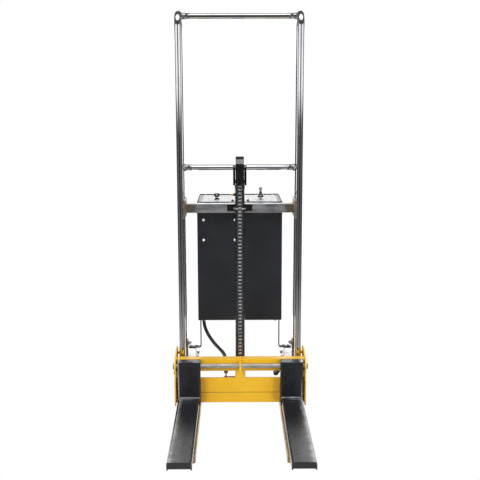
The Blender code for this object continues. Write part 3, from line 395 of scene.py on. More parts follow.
def member_finish():
    """Plated square tube, blued and browned by the welding at its two ends."""
    f = Finish("plated_tube", Metallic=1.0)
    colour = f.mix(f.cloud((0.38, 0.66), 24.0, 4, (0.35, 1.0, 1.0)), (0.93, 0.95, 0.98),
                   (0.74, 0.77, 0.83))
    colour = f.mix(f.cloud((0.56, 0.72, 0.0, 0.6), 120.0, 4, (0.2, 1.0, 1.0), seed=2), colour,
                   (0.62, 0.62, 0.6))
    reach = f.maths("ADD", f.wide(), f.cloud((0.3, 0.7, -0.016, 0.016), 46.0, 4, seed=6))
    colour = f.mix(f.span(reach, 0.184, 0.206, 0.0, 0.75), colour, (0.4, 0.37, 0.36))
    colour = f.mix(f.span(reach, 0.206, 0.226, 0.0, 0.9), colour, (0.55, 0.44, 0.27))
    f.colour(f.mix(f.worn(140.0, 0.3, 0.55), colour, (0.8, 0.79, 0.74)))
    f.rough(f.cloud((0.32, 0.72, 0.3, 0.5), 60.0, 5, (0.3, 1.0, 1.0), seed=5))
    return f.relief((f.noise(180.0, 3, (0.25, 1.0, 1.0)), 0.00007), (f.noise(1100.0, 2), 0.00001))


def fold_line(f, tone):
    """The pressed fold across the carriage's lower plate, as painted shade along the fold line and a groove
    in the bump, and a darker mustard zone beside each fork.
    """
    wide = f.wide()
    # painted shade: a thin dark line along the fold, at FOLD_Z across the lower plate
    near = f.span(wide, 0.2818, 0.2806)
    above = f.maths("ABSOLUTE", f.maths("SUBTRACT", f.part("Z"), FOLD_Z))
    line = f.times(f.span(above, 0.0016, 0.0005), near)
    # the lower plate is darkened towards mustard below 0.17 m, from a ragged line 0.14 to 0.152 m out to the
    # plate's ends
    edge = f.maths("ADD", wide, f.cloud((0.3, 0.7, -0.012, 0.012), 40.0, 4, seed=31))
    rubbed = f.times(f.span(edge, 0.14, 0.152, 0.0, 0.42), f.span(f.part("Z"), 0.17, 0.166))
    tone = f.mix(rubbed, tone, (0.5, 0.27, 0.035))
    return f.mix(line, tone, (0.16, 0.085, 0.02)), line


def paint_finish(name, colour, shade, chip, low, high, peel=0.00004, wear=(0.55, 0.66), dust=None,
                 streaks=0.0, ior=1.5, fold=False, painted_leg_shade=False, painted_edge_sheen=False):
    """Paint: orange peel, slow changes of shade, rubbed edges, and what else is asked for."""
    f = Finish(name, IOR=ior)
    tone = f.mix(f.cloud((0.34, 0.68), 7.0, 4), colour, shade)
    tone = f.mix(f.cloud((0.56, 0.8, 0.0, 0.35), 240.0, 4, seed=4), tone, shade)
    rough = f.cloud((0.32, 0.7, low, high), 38.0, 5, seed=7, rough=0.6)
    if dust:
        settled = f.times(f.span(f.facing_up(), 0.55, 0.98),
                          f.cloud((0.36, 0.7, 0.02, 0.25), 17.0, 5, seed=11, rough=0.62))
        tone = f.mix(settled, tone, dust)
    if streaks:
        scratch = f.maths("MAXIMUM", f.cloud((0.69, 0.725), 150.0, 2, (1.0, 0.035, 1.0), seed=21),
                          f.cloud((0.7, 0.735), 120.0, 2, (0.05, 0.5, 1.0), seed=22))
        patch = f.cloud((0.42, 0.62), 16.0, 3, seed=23)
        scratch = f.times(f.times(scratch, patch), streaks)
        tone = f.mix(scratch, tone, (0.23, 0.23, 0.24))
        rough = f.maths("ADD", rough, f.times(scratch, 0.25))
    layers = [(f.noise(85.0, 2), peel * 2.5), (f.noise(520.0, 2, seed=1), peel)]
    # painted shade: the base legs' inner faces ahead of the masts are darkened to dark olive, standing for
    # the shade under the forks
    if painted_leg_shade:
        inner = f.times(f.span(f.wide(), 0.188, 0.1835), f.span(f.part("Y"), 0.05, 0.0))
        tone = f.mix(f.times(inner, f.cloud((0.3, 0.7, 0.75, 0.95), 30.0, 4, seed=15)), tone,
                     (0.2, 0.15, 0.078))
    # painted highlight: the up-facing outer long edge of each fork blade is lightened to grey, standing for
    # the broad sheen along it
    if painted_edge_sheen:
        ragged = f.cloud((0.3, 0.7, -0.004, 0.004), 22.0, 4, seed=31)
        outer = f.span(f.maths("ADD", f.wide(), ragged), 0.244, 0.276)
        outer = f.times(f.times(outer, outer), f.span(f.facing_up(), 0.5, 0.9, 0.0, 0.85))
        tone = f.mix(outer, tone, (0.4, 0.41, 0.43))
    # the fold: a painted shade line with a groove in the bump, and the darker zone beside the forks
    if fold:
        tone, line = fold_line(f, tone)
        layers.append((f.maths("SUBTRACT", 1.0, line), 0.0006))
    rubbed = f.worn(120.0, *wear)
    f.colour(f.mix(rubbed, tone, chip))
    f.rough(f.maths("ADD", rough, f.times(rubbed, 0.12)))
    return f.relief(*layers)


def rubber_finish():
    f = Finish("black_rubber")
    f.colour(f.mix(f.cloud((0.42, 0.74, 0.0, 0.8), 46.0, 5, rough=0.65), (0.018, 0.018, 0.018),
                   (0.05, 0.048, 0.045)))
    f.rough(f.cloud((0.3, 0.7, 0.48, 0.74), 120.0, 4, seed=3))
    return f.relief((f.noise(330.0, 4), 0.00008), (f.noise(60.0, 2), 0.00016))


def hose_finish():
    """Rubber cover with the faint print of its wrapping."""
    f = Finish("hose_rubber")
    f.colour(f.mix(f.cloud((0.42, 0.75, 0.0, 0.7), 70.0, 5), (0.02, 0.02, 0.021),
                   (0.055, 0.053, 0.05)))
    f.rough(f.cloud((0.3, 0.7, 0.34, 0.52), 150.0, 4, seed=3))
    wrap = f.add("TexWave", Vector=f.stretched((1.0, 0.6, 1.0)), Scale=90.0, Distortion=0.6)
    wrap.bands_direction = "DIAGONAL"
    return f.relief((wrap.outputs["Fac"], 0.00012), (f.noise(600.0, 2), 0.00003))


def plastic_finish(name, colour, shade, low, high):
    f = Finish(name)
    f.colour(f.mix(f.cloud((0.36, 0.7), 22.0, 5, rough=0.6), colour, shade))
    f.rough(f.cloud((0.3, 0.7, low, high), 75.0, 4, seed=3))
    return f.relief((f.noise(650.0, 3), 0.00003))


def panel_finish():
    """Pale grey panel with a fine hammered speckle."""
    f = Finish("panel_paint")
    speck = f.span(f.cells(700.0), 0.1, 0.45)
    tone = f.mix(speck, (0.36, 0.36, 0.37), (0.5, 0.5, 0.51))
    f.colour(f.mix(f.cloud((0.45, 0.75, 0.0, 0.5), 14.0, 4), tone, (0.4, 0.405, 0.41)))
    f.rough(f.cloud((0.3, 0.7, 0.34, 0.5), 60.0, 4, seed=3))
    return f.relief((f.cells(700.0), 0.00004))


def speckle_finish():
    """Dark grey sealing strip with pale flecks."""
    f = Finish("speckled_strip")
    fleck = f.cloud((0.44, 0.6), 520.0, 4, rough=0.7)
    f.colour(f.mix(fleck, (0.1, 0.1, 0.1), (0.6, 0.6, 0.59)))
    f.rough(f.cloud((0.3, 0.7, 0.5, 0.75), 300.0, 3))
    return f.relief((f.noise(520.0, 4), 0.0002))


def weld_finish(name, light, dark, blue):
    f = Finish(name, Metallic=1.0)
    colour = f.mix(f.cloud((0.36, 0.66), 160.0, 4), light, dark)
    f.colour(f.mix(f.cloud((0.52, 0.74, 0.0, 0.8), 90.0, 3, seed=4), colour, blue))
    f.rough(f.cloud((0.3, 0.7, 0.3, 0.58), 240.0, 4, seed=6))
    return f.relief((f.noise(420.0, 4), 0.00015))


make_camera()
make_floor()
make_backdrop()
make_world()
make_lights()

CHROME = chrome_finish()
ZINC = steel_finish("zinc_plate", (0.56, 0.56, 0.54), (0.36, 0.37, 0.37), 0.26, 0.44, tint=(0.5, 0.47, 0.38))
BRIGHT_ZINC = steel_finish("bright_zinc", (0.86, 0.86, 0.85), (0.7, 0.71, 0.72), 0.16, 0.32)
ROD_STEEL = steel_finish("rod_steel", (0.6, 0.59, 0.55), (0.44, 0.42, 0.39), 0.42, 0.58,
                         tint=(0.36, 0.3, 0.2), metallic=0.75)
BRACKET_ZINC = steel_finish("bracket_zinc", (0.7, 0.7, 0.7), (0.34, 0.35, 0.36), 0.18, 0.36,
                            tint=(0.42, 0.4, 0.34))
CHAIN_STEEL = steel_finish("chain_steel", (0.21, 0.21, 0.215), (0.11, 0.11, 0.113), 0.28, 0.44,
                           metallic=0.5)
ROLLER_STEEL = steel_finish("chain_roller_steel", (0.8, 0.8, 0.78), (0.62, 0.62, 0.61), 0.24, 0.36)
DARK_STEEL = steel_finish("dark_steel", (0.06, 0.06, 0.064), (0.03, 0.03, 0.032), 0.3, 0.46,
                          metallic=0.6)
BRASS = steel_finish("brass", (0.72, 0.5, 0.2), (0.48, 0.32, 0.12), 0.22, 0.42, tint=(0.36, 0.24, 0.11))
MEMBER = member_finish()
YELLOW_PAINT = dict(colour=(0.79, 0.455, 0.016), shade=(0.725, 0.402, 0.013), chip=(0.3, 0.2, 0.09),
                    low=0.3, high=0.44, wear=(0.6, 0.7), dust=(0.66, 0.48, 0.22), ior=1.45)
YELLOW = paint_finish("yellow_powder_coat", **YELLOW_PAINT)
CARRIAGE_YELLOW = paint_finish("yellow_carriage_coat", fold=True, **YELLOW_PAINT)
# the base coat carries painted shade on the legs' inner faces under the forks
BASE_YELLOW = paint_finish("yellow_base_coat", painted_leg_shade=True, **YELLOW_PAINT)
SATIN_BLACK = paint_finish("satin_black_coat", (0.015, 0.0165, 0.0205), (0.0195, 0.021, 0.025),
                           (0.08, 0.08, 0.085), 0.34, 0.48, peel=0.00005, wear=(0.54, 0.68))
GLOSS_BLACK = paint_finish("gloss_black_paint", (0.006, 0.0064, 0.0075), (0.01, 0.0105, 0.012),
                           (0.14, 0.14, 0.145), 0.22, 0.34, peel=0.000008, wear=(0.5, 0.64), ior=1.8)
# the fork paint carries a painted highlight along the blades' outer long edges
FORK_BLACK = paint_finish("fork_black_paint", (0.009, 0.0095, 0.012), (0.014, 0.015, 0.018),
                          (0.16, 0.16, 0.165), 0.26, 0.34, peel=0.000003, wear=(0.5, 0.64), ior=1.8,
                          streaks=0.22, painted_edge_sheen=True)
HOOD_BLACK = paint_finish("hood_black", (0.0075, 0.008, 0.0095), (0.011, 0.0115, 0.013),
                          (0.1, 0.1, 0.1), 0.07, 0.11, peel=0.000003, wear=(0.56, 0.7), ior=2.3)
DEEP_BLACK = paint_finish("cylinder_black", (0.0075, 0.008, 0.0095), (0.011, 0.0115, 0.013),
                          (0.1, 0.1, 0.1), 0.2, 0.32, peel=0.00001, wear=(0.52, 0.66), ior=1.8)
SCUFFED = steel_finish("scuffed_black", (0.34, 0.34, 0.35), (0.1, 0.1, 0.105), 0.3, 0.5, metallic=0.5)
RUBBER = rubber_finish()
HOSE = hose_finish()
PANEL = panel_finish()
SPECKLE = speckle_finish()
NYLON = plastic_finish("nylon", (0.74, 0.72, 0.66), (0.62, 0.6, 0.53), 0.34, 0.52)
GREY_HUB = plastic_finish("grey_hub", (0.3, 0.3, 0.31), (0.24, 0.24, 0.25), 0.36, 0.52)
BATTERY = plastic_finish("battery_case", (0.045, 0.045, 0.05), (0.06, 0.06, 0.066), 0.42, 0.6)
TANK = plastic_finish("tank_plastic", (0.32, 0.31, 0.28), (0.25, 0.24, 0.21), 0.36, 0.54)
MOTOR = steel_finish("motor_steel", (0.14, 0.14, 0.15), (0.09, 0.09, 0.095), 0.3, 0.46)
ALUMINIUM = steel_finish("cast_aluminium", (0.66, 0.66, 0.66), (0.5, 0.5, 0.5), 0.36, 0.54)
BURNT_WELD = weld_finish("burnt_weld", (0.62, 0.56, 0.45), (0.3, 0.24, 0.17), (0.2, 0.22, 0.3))
DARK_WELD = weld_finish("dark_weld", (0.34, 0.34, 0.35), (0.12, 0.12, 0.13), (0.1, 0.1, 0.12))
LEVER_METAL = steel_finish("lever_metal", (0.52, 0.52, 0.48), (0.34, 0.34, 0.3), 0.16, 0.28,
                           tint=(0.3, 0.29, 0.22))
SCREW_METAL = steel_finish("screw_metal", (0.97, 0.97, 0.97), (0.9, 0.9, 0.9), 0.34, 0.48, metallic=0.1)
SLEEVE = steel_finish("sleeve_metal", (0.78, 0.78, 0.78), (0.5, 0.5, 0.51), 0.22, 0.4, grain=420.0)


# ---- mesh helpers

def piece(name, bm, body, finish, crease=35.0, normals=True):
    """A finished mesh that rides on its body."""
    bmesh.ops.recalc_face_normals(bm, faces=bm.faces)
    mesh = bpy.data.meshes.new(name)
    bm.to_mesh(mesh)
    bm.free()
    mesh.materials.append(finish.material)
    mesh.shade_smooth()
    mesh.set_sharp_from_angle(angle=math.radians(crease))
    made = in_scene(bpy.data.objects.new(name, mesh))
    if normals:
        smooth = made.modifiers.new("normals", "WEIGHTED_NORMAL")
        smooth.keep_sharp = True
        smooth.weight = 50
    if body:
        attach(made, body)
    return made


def mm(*points):
    """Points given in millimetres, in metres."""
    return [(a / 1000, b / 1000) for a, b in points]


def frame_along(axis):
    return Vector(axis).to_track_quat("Z", "Y").to_matrix()


def lathe(bm, profile, centre, axis, sides=24, start=0.0):
    """Turn a profile of (radius, height) about an axis; radius 0 at both ends makes it solid."""
    turn, centre = frame_along(axis), Vector(centre)
    rings = []
    for radius, height in profile:
        count = 1 if radius == 0 else sides
        rings.append([bm.verts.new(centre + turn @ Vector((
            radius * math.cos(2 * math.pi * (k + start) / sides),
            radius * math.sin(2 * math.pi * (k + start) / sides), height))) for k in range(count)])
    pairs = list(zip(rings, rings[1:]))
    if profile[0][0] != 0:
        pairs.append((rings[-1], rings[0]))
    for lower, upper in pairs:
        for k in range(sides):
            nxt = (k + 1) % sides
            if len(lower) == 1 and len(upper) == 1:
                continue
            if len(lower) == 1:
                bm.faces.new((lower[0], upper[k], upper[nxt]))
            elif len(upper) == 1:
                bm.faces.new((lower[k], upper[0], lower[nxt]))
            else:
                bm.faces.new((lower[k], upper[k], upper[nxt], lower[nxt]))


def turned(name, profile, centre, axis, sides, body, finish):
    """A piece of its own, turned from one profile."""
    bm = bmesh.new()
    lathe(bm, profile, centre, axis, sides)
    return piece(name, bm, body, finish)


def sweep(bm, path, radii, sides=12, closed=False, first_side=None):
    """A round bar along a path, with one radius or one for each point."""
    points = [Vector(p) for p in path]
    if isinstance(radii, (int, float)):
        radii = [radii] * len(points)
    count = len(points)
    tangents = []
    for k in range(count):
        before = points[k - 1] if k or closed else points[k]
        after = points[(k + 1) % count] if k + 1 < count or closed else points[k]
        tangents.append((after - before).normalized())
    side = Vector(first_side) if first_side else tangents[0].orthogonal().normalized()
    rings = []
    for point, tangent, radius in zip(points, tangents, radii):
        side = (side - tangent * side.dot(tangent)).normalized()
        up = tangent.cross(side)
        rings.append([bm.verts.new(point + (side * math.cos(2 * math.pi * k / sides)
                                            + up * math.sin(2 * math.pi * k / sides)) * radius)
                      for k in range(sides)])
    pairs = list(zip(rings, rings[1:]))
    if closed:
        pairs.append((rings[-1], rings[0]))
    for lower, upper in pairs:
        for k in range(sides):
            nxt = (k + 1) % sides
            bm.faces.new((lower[k], lower[nxt], upper[nxt], upper[k]))
    if not closed:
        bm.faces.new(rings[0])
        bm.faces.new(rings[-1])


def extrude(bm, outline, axis, low, high):
    """Solid between two heights. Axis X takes (y, z) points, axis Y (x, z) and axis Z (x, y)."""
    place = {"X": lambda a, b, h: (h, a, b), "Y": lambda a, b, h: (a, h, b),
             "Z": lambda a, b, h: (a, b, h)}[axis]
    bottom = [bm.verts.new(place(a, b, low)) for a, b in outline]
    top = [bm.verts.new(place(a, b, high)) for a, b in outline]
    faces = [bm.faces.new(bottom), bm.faces.new(top)]
    for k in range(len(outline)):
        nxt = (k + 1) % len(outline)
        faces.append(bm.faces.new((bottom[k], bottom[nxt], top[nxt], top[k])))
    return faces


def soften(bm, width, segments=2, angle=30.0, faces=None, pick=None, layer="wear"):
    """Round the sharp edges and mark the rounding, so that finishes can wear there."""
    mark = bm.faces.layers.float.get(layer) or bm.faces.layers.float.new(layer)
    edges = []
    for edge in bm.edges:
        if len(edge.link_faces) != 2 or edge.calc_length() < 2.2 * width:
            continue
        if faces is not None and not (set(edge.link_faces) & faces):
            continue
        if edge.calc_face_angle(0.0) < math.radians(angle):
            continue
        if pick is not None and not pick(edge):
            continue
        edges.append(edge)
    if edges:
        made = bmesh.ops.bevel(bm, geom=edges, offset=width, offset_type="OFFSET", segments=segments,
                               profile=0.5, affect="EDGES", clamp_overlap=False, loop_slide=True)
        for face in made["faces"]:
            face[mark] = 1.0


def soft_extrude(bm, outline, axis, low, high, width, segments=2, angle=30.0):
    """An extruded solid with its own edges rounded."""
    faces = set(extrude(bm, outline, axis, low, high))
    bmesh.ops.recalc_face_normals(bm, faces=list(faces))
    soften(bm, width, segments, angle, faces=faces)


def arc(centre_a, centre_b, radius, start, end, steps):
    return [(centre_a + radius * math.cos(math.radians(start + (end - start) * k / steps)),
             centre_b + radius * math.sin(math.radians(start + (end - start) * k / steps)))
            for k in range(steps + 1)]


def cad_mesh(node):
    """A working copy of a CAD node's solid, with its flat faces whole again."""
    bm = bmesh.new()
    bm.from_mesh(NODES[node].data)
    bmesh.ops.remove_doubles(bm, verts=bm.verts, dist=2e-6)
    bmesh.ops.dissolve_limit(bm, angle_limit=math.radians(1.0), verts=bm.verts, edges=bm.edges)
    bmesh.ops.recalc_face_normals(bm, faces=bm.faces)
    return bm


def refined(node, finish, width=0.0008, segments=2):
    """A CAD node with its edges rounded as the real part's are."""
    bm = cad_mesh(node)
    soften(bm, width, segments)
    bmesh.ops.triangulate(bm, faces=[face for face in bm.faces if len(face.verts) > 4])
    made = piece(node + "_detailed", bm, NODES[node]["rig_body"], finish)
    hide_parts(node)
    return made


def dress(node, finish):
    """A CAD node that is shown as it is, with the finish given."""
    data = NODES[node].data
    data.materials.clear()
    data.materials.append(finish.material)


def hex_bolt(bm, spot, axis, across, height, washer=0.0, turn=0.0):
    """Hexagon head or nut with a chamfered face, on a washer if one is asked for."""
    spot, axis = Vector(spot), Vector(axis).normalized()
    radius = across / 2 / math.cos(math.pi / 6)
    if washer:
        thick, edge = 0.0015, 0.0004
        lathe(bm, [(0, 0), (washer, 0), (washer, thick - edge), (washer - edge, thick), (0, thick)],
              spot, axis, 24)
        spot = spot + axis * thick
    lathe(bm, [(0, 0), (radius, 0), (radius, height * 0.84), (radius * 0.9, height), (0, height)],
          spot, axis, 6, turn)


def button_screw(bm, spot, axis, radius, height):
    """Domed head with a socket."""
    socket = radius * 0.42
    lathe(bm, [(0, 0), (radius, 0), (radius * 0.98, height * 0.25), (radius * 0.86, height * 0.66),
               (radius * 0.66, height * 0.92), (radius * 0.5, height), (socket, height * 0.96),
               (socket * 0.94, height * 0.45), (0, height * 0.36)], spot, axis, 20)


def weld_bead(bm, path, radius, seed, closed=False, sides=8):
    """A run of weld: ripples a little unlike each other."""
    rng = random.Random(seed)
    points = [Vector(p) for p in path]
    if closed:
        points.append(points[0].copy())
    lengths = [(b - a).length for a, b in zip(points, points[1:])]
    total = sum(lengths)
    count = max(6, int(total / (radius * 0.42)))
    spots = []
    for k in range(count if closed else count + 1):
        want, leg = total * k / count, 0
        while leg < len(lengths) - 1 and want > lengths[leg]:
            want -= lengths[leg]
            leg += 1
        spots.append(points[leg].lerp(points[leg + 1], min(1.0, want / max(lengths[leg], 1e-9))))
    radii = []
    for k in range(len(spots)):
        swell = 0.84 + 0.2 * abs(math.sin(math.pi * k / 3.0)) + rng.uniform(-0.05, 0.05)
        if not closed:
            swell *= min(1.0, 0.45 + 0.25 * min(k, len(spots) - 1 - k))
        radii.append(radius * swell)
    sweep(bm, spots, radii, sides, closed)


def side_welds(bm, radius, seed, paths):
    """The same runs of weld on both sides, each with a seed of its own; gives the next free seed."""
    for side in SIDES:
        for path in paths:
            weld_bead(bm, [(side * x, y, z) for x, y, z in path], radius, seed)
            seed += 1
    return seed


def smooth_route(points, steps):
    """Points read from a Catmull-Rom curve through the route."""
    knots = [Vector(p) for p in points]
    knots = [2 * knots[0] - knots[1]] + knots + [2 * knots[-1] - knots[-2]]
    route = []
    for k in range(1, len(knots) - 2):
        a, b, c, d = knots[k - 1:k + 3]
        for step in range(steps):
            t = step / steps
            route.append(0.5 * ((2 * b) + (c - a) * t + (2 * a - 5 * b + 4 * c - d) * t * t
                                + (3 * b - a - 3 * c + d) * t ** 3))
    route.append(knots[-2])
    return route


# ---- hose

def hydraulic_hose():
    route = smooth_route(HOSE_ROUTE, 6)
    bm = bmesh.new()
    sweep(bm, route, HOSE_R, 24)
    hose = piece("hydraulic_hose_rubber", bm, "root", HOSE, normals=False)
    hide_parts("hydraulic_hose")


# ---- masts and bars

def rear_leg_y(z):
    share = (STRAIGHT_TOP_Z - z) / (STRAIGHT_TOP_Z - REAR_FOOT_Z)
    return FRONT_LEG_Y + 2 * BEND_R + (REAR_FOOT_Y - FRONT_LEG_Y - 2 * BEND_R) * share


def masts():
    for tag, side in TAGS:
        path = [(FRONT_LEG_Y, FRONT_FOOT_Z), (FRONT_LEG_Y, 0.9)]
        path += arc(FRONT_LEG_Y + BEND_R, STRAIGHT_TOP_Z, BEND_R, 180, 0, 28)
        path += [(rear_leg_y(0.9), 0.9), (REAR_FOOT_Y, REAR_FOOT_Z)]
        bm = bmesh.new()
        sweep(bm, [(side * MAST_X, y, z) for y, z in path], TUBE_R, 48, first_side=(1, 0, 0))
        tube = piece("mast_tube_%s_chrome" % tag, bm, "root", CHROME, normals=False)
        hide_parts("mast_tube_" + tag)


def saddle(side, y, z, across):
    """The line where a crossbar meets a mast tube; across is the tube's own cross direction in (y, z)."""
    points = []
    for k in range(36):
        angle = 2 * math.pi * k / 36
        dy, dz = BAR_R * 1.04 * math.cos(angle), BAR_R * 1.04 * math.sin(angle)
        off = dy * across[0] + dz * across[1]
        reach = math.sqrt(max(0.0, TUBE_R ** 2 - min(off ** 2, TUBE_R ** 2 * 0.985)))
        points.append((side * (MAST_X - reach - 0.0004), y + dy, z + dz))
    return points


def bar_welds():
    """Each crossbar ends in a rough sleeve, run over with weld where it meets the mast tubes."""
    beads, sleeves = bmesh.new(), bmesh.new()
    lean = Vector((TOP_BAR_Y - FRONT_LEG_Y - BEND_R, TOP_BAR_Z - STRAIGHT_TOP_Z)).normalized()
    for side in SIDES:
        for k, (y, z, across) in enumerate(((TOP_BAR_Y, TOP_BAR_Z, lean),
                                            (rear_leg_y(MIDDLE_BAR_Z), MIDDLE_BAR_Z, (1.0, 0.0)))):
            weld_bead(beads, saddle(side, y, z, across), 0.003, 3 + side + 5 * k, closed=True)
            start = MAST_X - TUBE_R + 0.002
            lathe(sleeves, [(BAR_R + wall, height) for wall, height in (
                (-0.002, 0.0), (0.0014, 0.0), (0.0018, 0.01), (0.001, 0.022), (0.0012, 0.03),
                (0.0002, SLEEVE_END), (-0.002, SLEEVE_END))], (side * start, y, z), (-side, 0, 0), 40)
            for n, (near, far, low, high) in enumerate(((0.004, 0.019, -62, 34), (0.02, 0.033, 58, -46))):
                stroke = []
                for step in range(9):
                    t = step / 8
                    angle = math.radians(low + (high - low) * t)
                    out = BAR_R + 0.0016
                    stroke.append((side * (start - near - (far - near) * t),
                                   y - out * math.cos(angle), z + out * math.sin(angle)))
                weld_bead(beads, stroke, 0.003, 70 + 4 * k + 2 * n + side)
    piece("crossbar_sleeves", sleeves, "root", SLEEVE)
    piece("crossbar_welds", beads, "root", DARK_WELD)


def cross_member():
    refined("cross_member", MEMBER, 0.0022, 3)
    bm = bmesh.new()
    for side in SIDES:
        x = side * (TAB_X + 0.0004)
        for k, (y, r) in enumerate(((FRONT_LEG_Y - WELD_OUT, 0.003), (FRONT_LEG_Y + WELD_OUT, 0.003),
                                    (rear_leg_y(0.91) - WELD_OUT, 0.0028))):
            weld_bead(bm, [(x, y, TAB_Z[0] + 0.003), (x, y, TAB_Z[1] - 0.003)], r, 20 + 3 * side + k)
        inner = side * (TAB_X - WELD_OUT)
        loop = [(inner, MEMBER_Y[0], MEMBER_Z[0]), (inner, MEMBER_Y[1], MEMBER_Z[0]),
                (inner, MEMBER_Y[1], MEMBER_Z[1]), (inner, MEMBER_Y[0], MEMBER_Z[1])]
        weld_bead(bm, loop, 0.0034, 40 + side, closed=True)
    piece("cross_member_welds", bm, "root", BURNT_WELD)
    bm = bmesh.new()
    for x in (-U_BOLT_R, U_BOLT_R):
        hex_bolt(bm, (x, MEMBER_Y[1], U_BOLT_Z), (0, 1, 0), 0.013, 0.0065, washer=0.0085)
    piece("u_bolt_nuts", bm, "root", BRIGHT_ZINC)


def u_bolt():
    """Smooth bright U-bolt round the cylinder."""
    radius, z = U_BOLT_R, U_BOLT_Z
    path = [(-radius, 0.238, z), (-radius, CYL_Y + 0.012, z)]
    path += [(a, b, z) for a, b in arc(0.0, CYL_Y, radius, 180, 360, 32)]
    path += [(radius, CYL_Y + 0.012, z), (radius, 0.238, z)]
    bm = bmesh.new()
    sweep(bm, path, 0.0038, 20, first_side=(0, 0, 1))
    made = piece("cylinder_u_bolt_bright", bm, "root", BRIGHT_ZINC, normals=False)
    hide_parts("cylinder_u_bolt")


# ---- chain

def chain_spot(distance):
    """(y, z) on the chain's line, measured from the floor up the front run."""
    if distance <= PULLEY_Z:
        return Vector((FRONT_RUN_Y, distance))
    if distance <= PULLEY_Z + WRAP:
        angle = (distance - PULLEY_Z) / CHAIN_R
        return Vector((CYL_Y - CHAIN_R * math.cos(angle), PULLEY_Z + CHAIN_R * math.sin(angle)))
    return Vector((REAR_RUN_Y, 2 * PULLEY_Z + WRAP - distance))


def link_outline(a, b, half):
    """Waisted outline of a link plate between two pins, in (y, z)."""
    along = (b - a).normalized()
    across = Vector((-along.y, along.x))
    outline = []
    for centre, start in ((a, 112), (b, -68)):
        for k in range(8):
            angle = math.radians(start + 136 * k / 7)
            outline.append(centre + (along * math.cos(angle) + across * math.sin(angle)) * half)
        middle = (a + b) / 2
        outline.append(middle + across * half * (-0.8 if centre is a else 0.8))
    return [tuple(p) for p in outline]


def chain_link(bm, a, b, outer, half=LINK_HALF, inner_x=LINK_X, plate=PLATE, roller=ROLLER_R):
    """Two plates between pins a and b, with the roller and pin at a."""
    x = inner_x + (plate + 0.0002 if outer else 0.0)
    outline = link_outline(a, b, half)
    for side in SIDES:
        low, high = sorted((side * x, side * (x + plate)))
        extrude(bm, outline, "X", low, high)
    chain_pin(bm, a, roller, inner_x, plate)


def chain_pin(bm, a, roller=ROLLER_R, inner_x=LINK_X, plate=PLATE):
    """A roller on its pin, across the chain at the (y, z) given."""
    reach = inner_x + 2 * plate + 0.001
    width = inner_x - 0.0002
    centre = (0.0, a.x, a.y)
    lathe(bm, [(0, -width), (roller * 0.92, -width), (roller, 0.0005 - width), (roller, width - 0.0005),
               (roller * 0.92, width), (0, width)], centre, (1, 0, 0), 16)
    lathe(bm, [(0, -reach), (0.0017, -reach), (0.0024, 0.0006 - reach), (0.0024, reach - 0.0006),
               (0.0017, reach), (0, reach)], centre, (1, 0, 0), 10)


def two_tone(made):
    """Rollers and pins are brighter than the plates: they are the round parts of the chain."""
    made.data.materials.append(ROLLER_STEEL.material)
    for face in made.data.polygons:
        if abs(face.center.x) < LINK_X - 0.0001:
            face.material_index = 1


def chain_run(name, first, last, body, end_pin=True):
    bm = bmesh.new()
    for k in range(first, last):
        a, b = chain_spot(FIRST_PIN_Z + k * PITCH), chain_spot(FIRST_PIN_Z + (k + 1) * PITCH)
        chain_link(bm, a, b, outer=k % 2 == 0)
    if end_pin:
        chain_pin(bm, chain_spot(FIRST_PIN_Z + last * PITCH))
    made = piece(name, bm, body, CHAIN_STEEL, crease=40, normals=False)
    two_tone(made)
    return made


def stretching_chain(split_z):
    """The rear run, built packed inside the links round split_z."""
    low = split_z - STRETCH_HALF
    height = 2 * STRETCH_HALF

    def raised(z):
        t = min(1.0, max(0.0, (z - low) / height))
        return z + RAM_TRAVEL * t * t * (3 - 2 * t)

    def lowered(z):
        a, b = low - 0.01, low + height + 0.01
        for _ in range(40):
            middle = (a + b) / 2
            a, b = (middle, b) if raised(middle) < z else (a, middle)
        return (a + b) / 2

    bm = bmesh.new()
    count = int((RAM_TRAVEL + height) / PITCH)
    for k in range(count):
        a = Vector((REAR_RUN_Y, low + 0.004 + k * PITCH))
        b = Vector((REAR_RUN_Y, low + 0.004 + (k + 1) * PITCH))
        chain_link(bm, a, b, outer=k % 2 == 0, half=0.0046, inner_x=0.0043, plate=0.0014, roller=0.0033)
    for vert in bm.verts:
        vert.co.z = lowered(vert.co.z)
    made = piece("chain_rear_stretch", bm, None, CHAIN_STEEL, crease=40, normals=False)
    two_tone(made)
    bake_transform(made)


def lift_chain():
    on_front = int((PULLEY_Z - FIRST_PIN_Z) / PITCH)
    total = int((PULLEY_Z + WRAP + PULLEY_Z - CHAIN_END_Z - FIRST_PIN_Z) / PITCH)
    split = total - REAR_FIXED_LINKS
    low = chain_run("chain_front_low", 0, CARRIAGE_LINKS, "carriage")
    high = chain_run("chain_front_high", CARRIAGE_LINKS, on_front, "ram", end_pin=False)
    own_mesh(high)
    top = chain_run("chain_wrap", on_front, split, "ram")
    rear = chain_run("chain_rear_low", split, total, "root")
    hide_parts("chain_front_run")
    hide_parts("chain_over_pulley")
    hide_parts("chain_rear_run")
    stretching_chain(chain_spot(FIRST_PIN_Z + split * PITCH).y)


# ---- lift cylinder and ram head

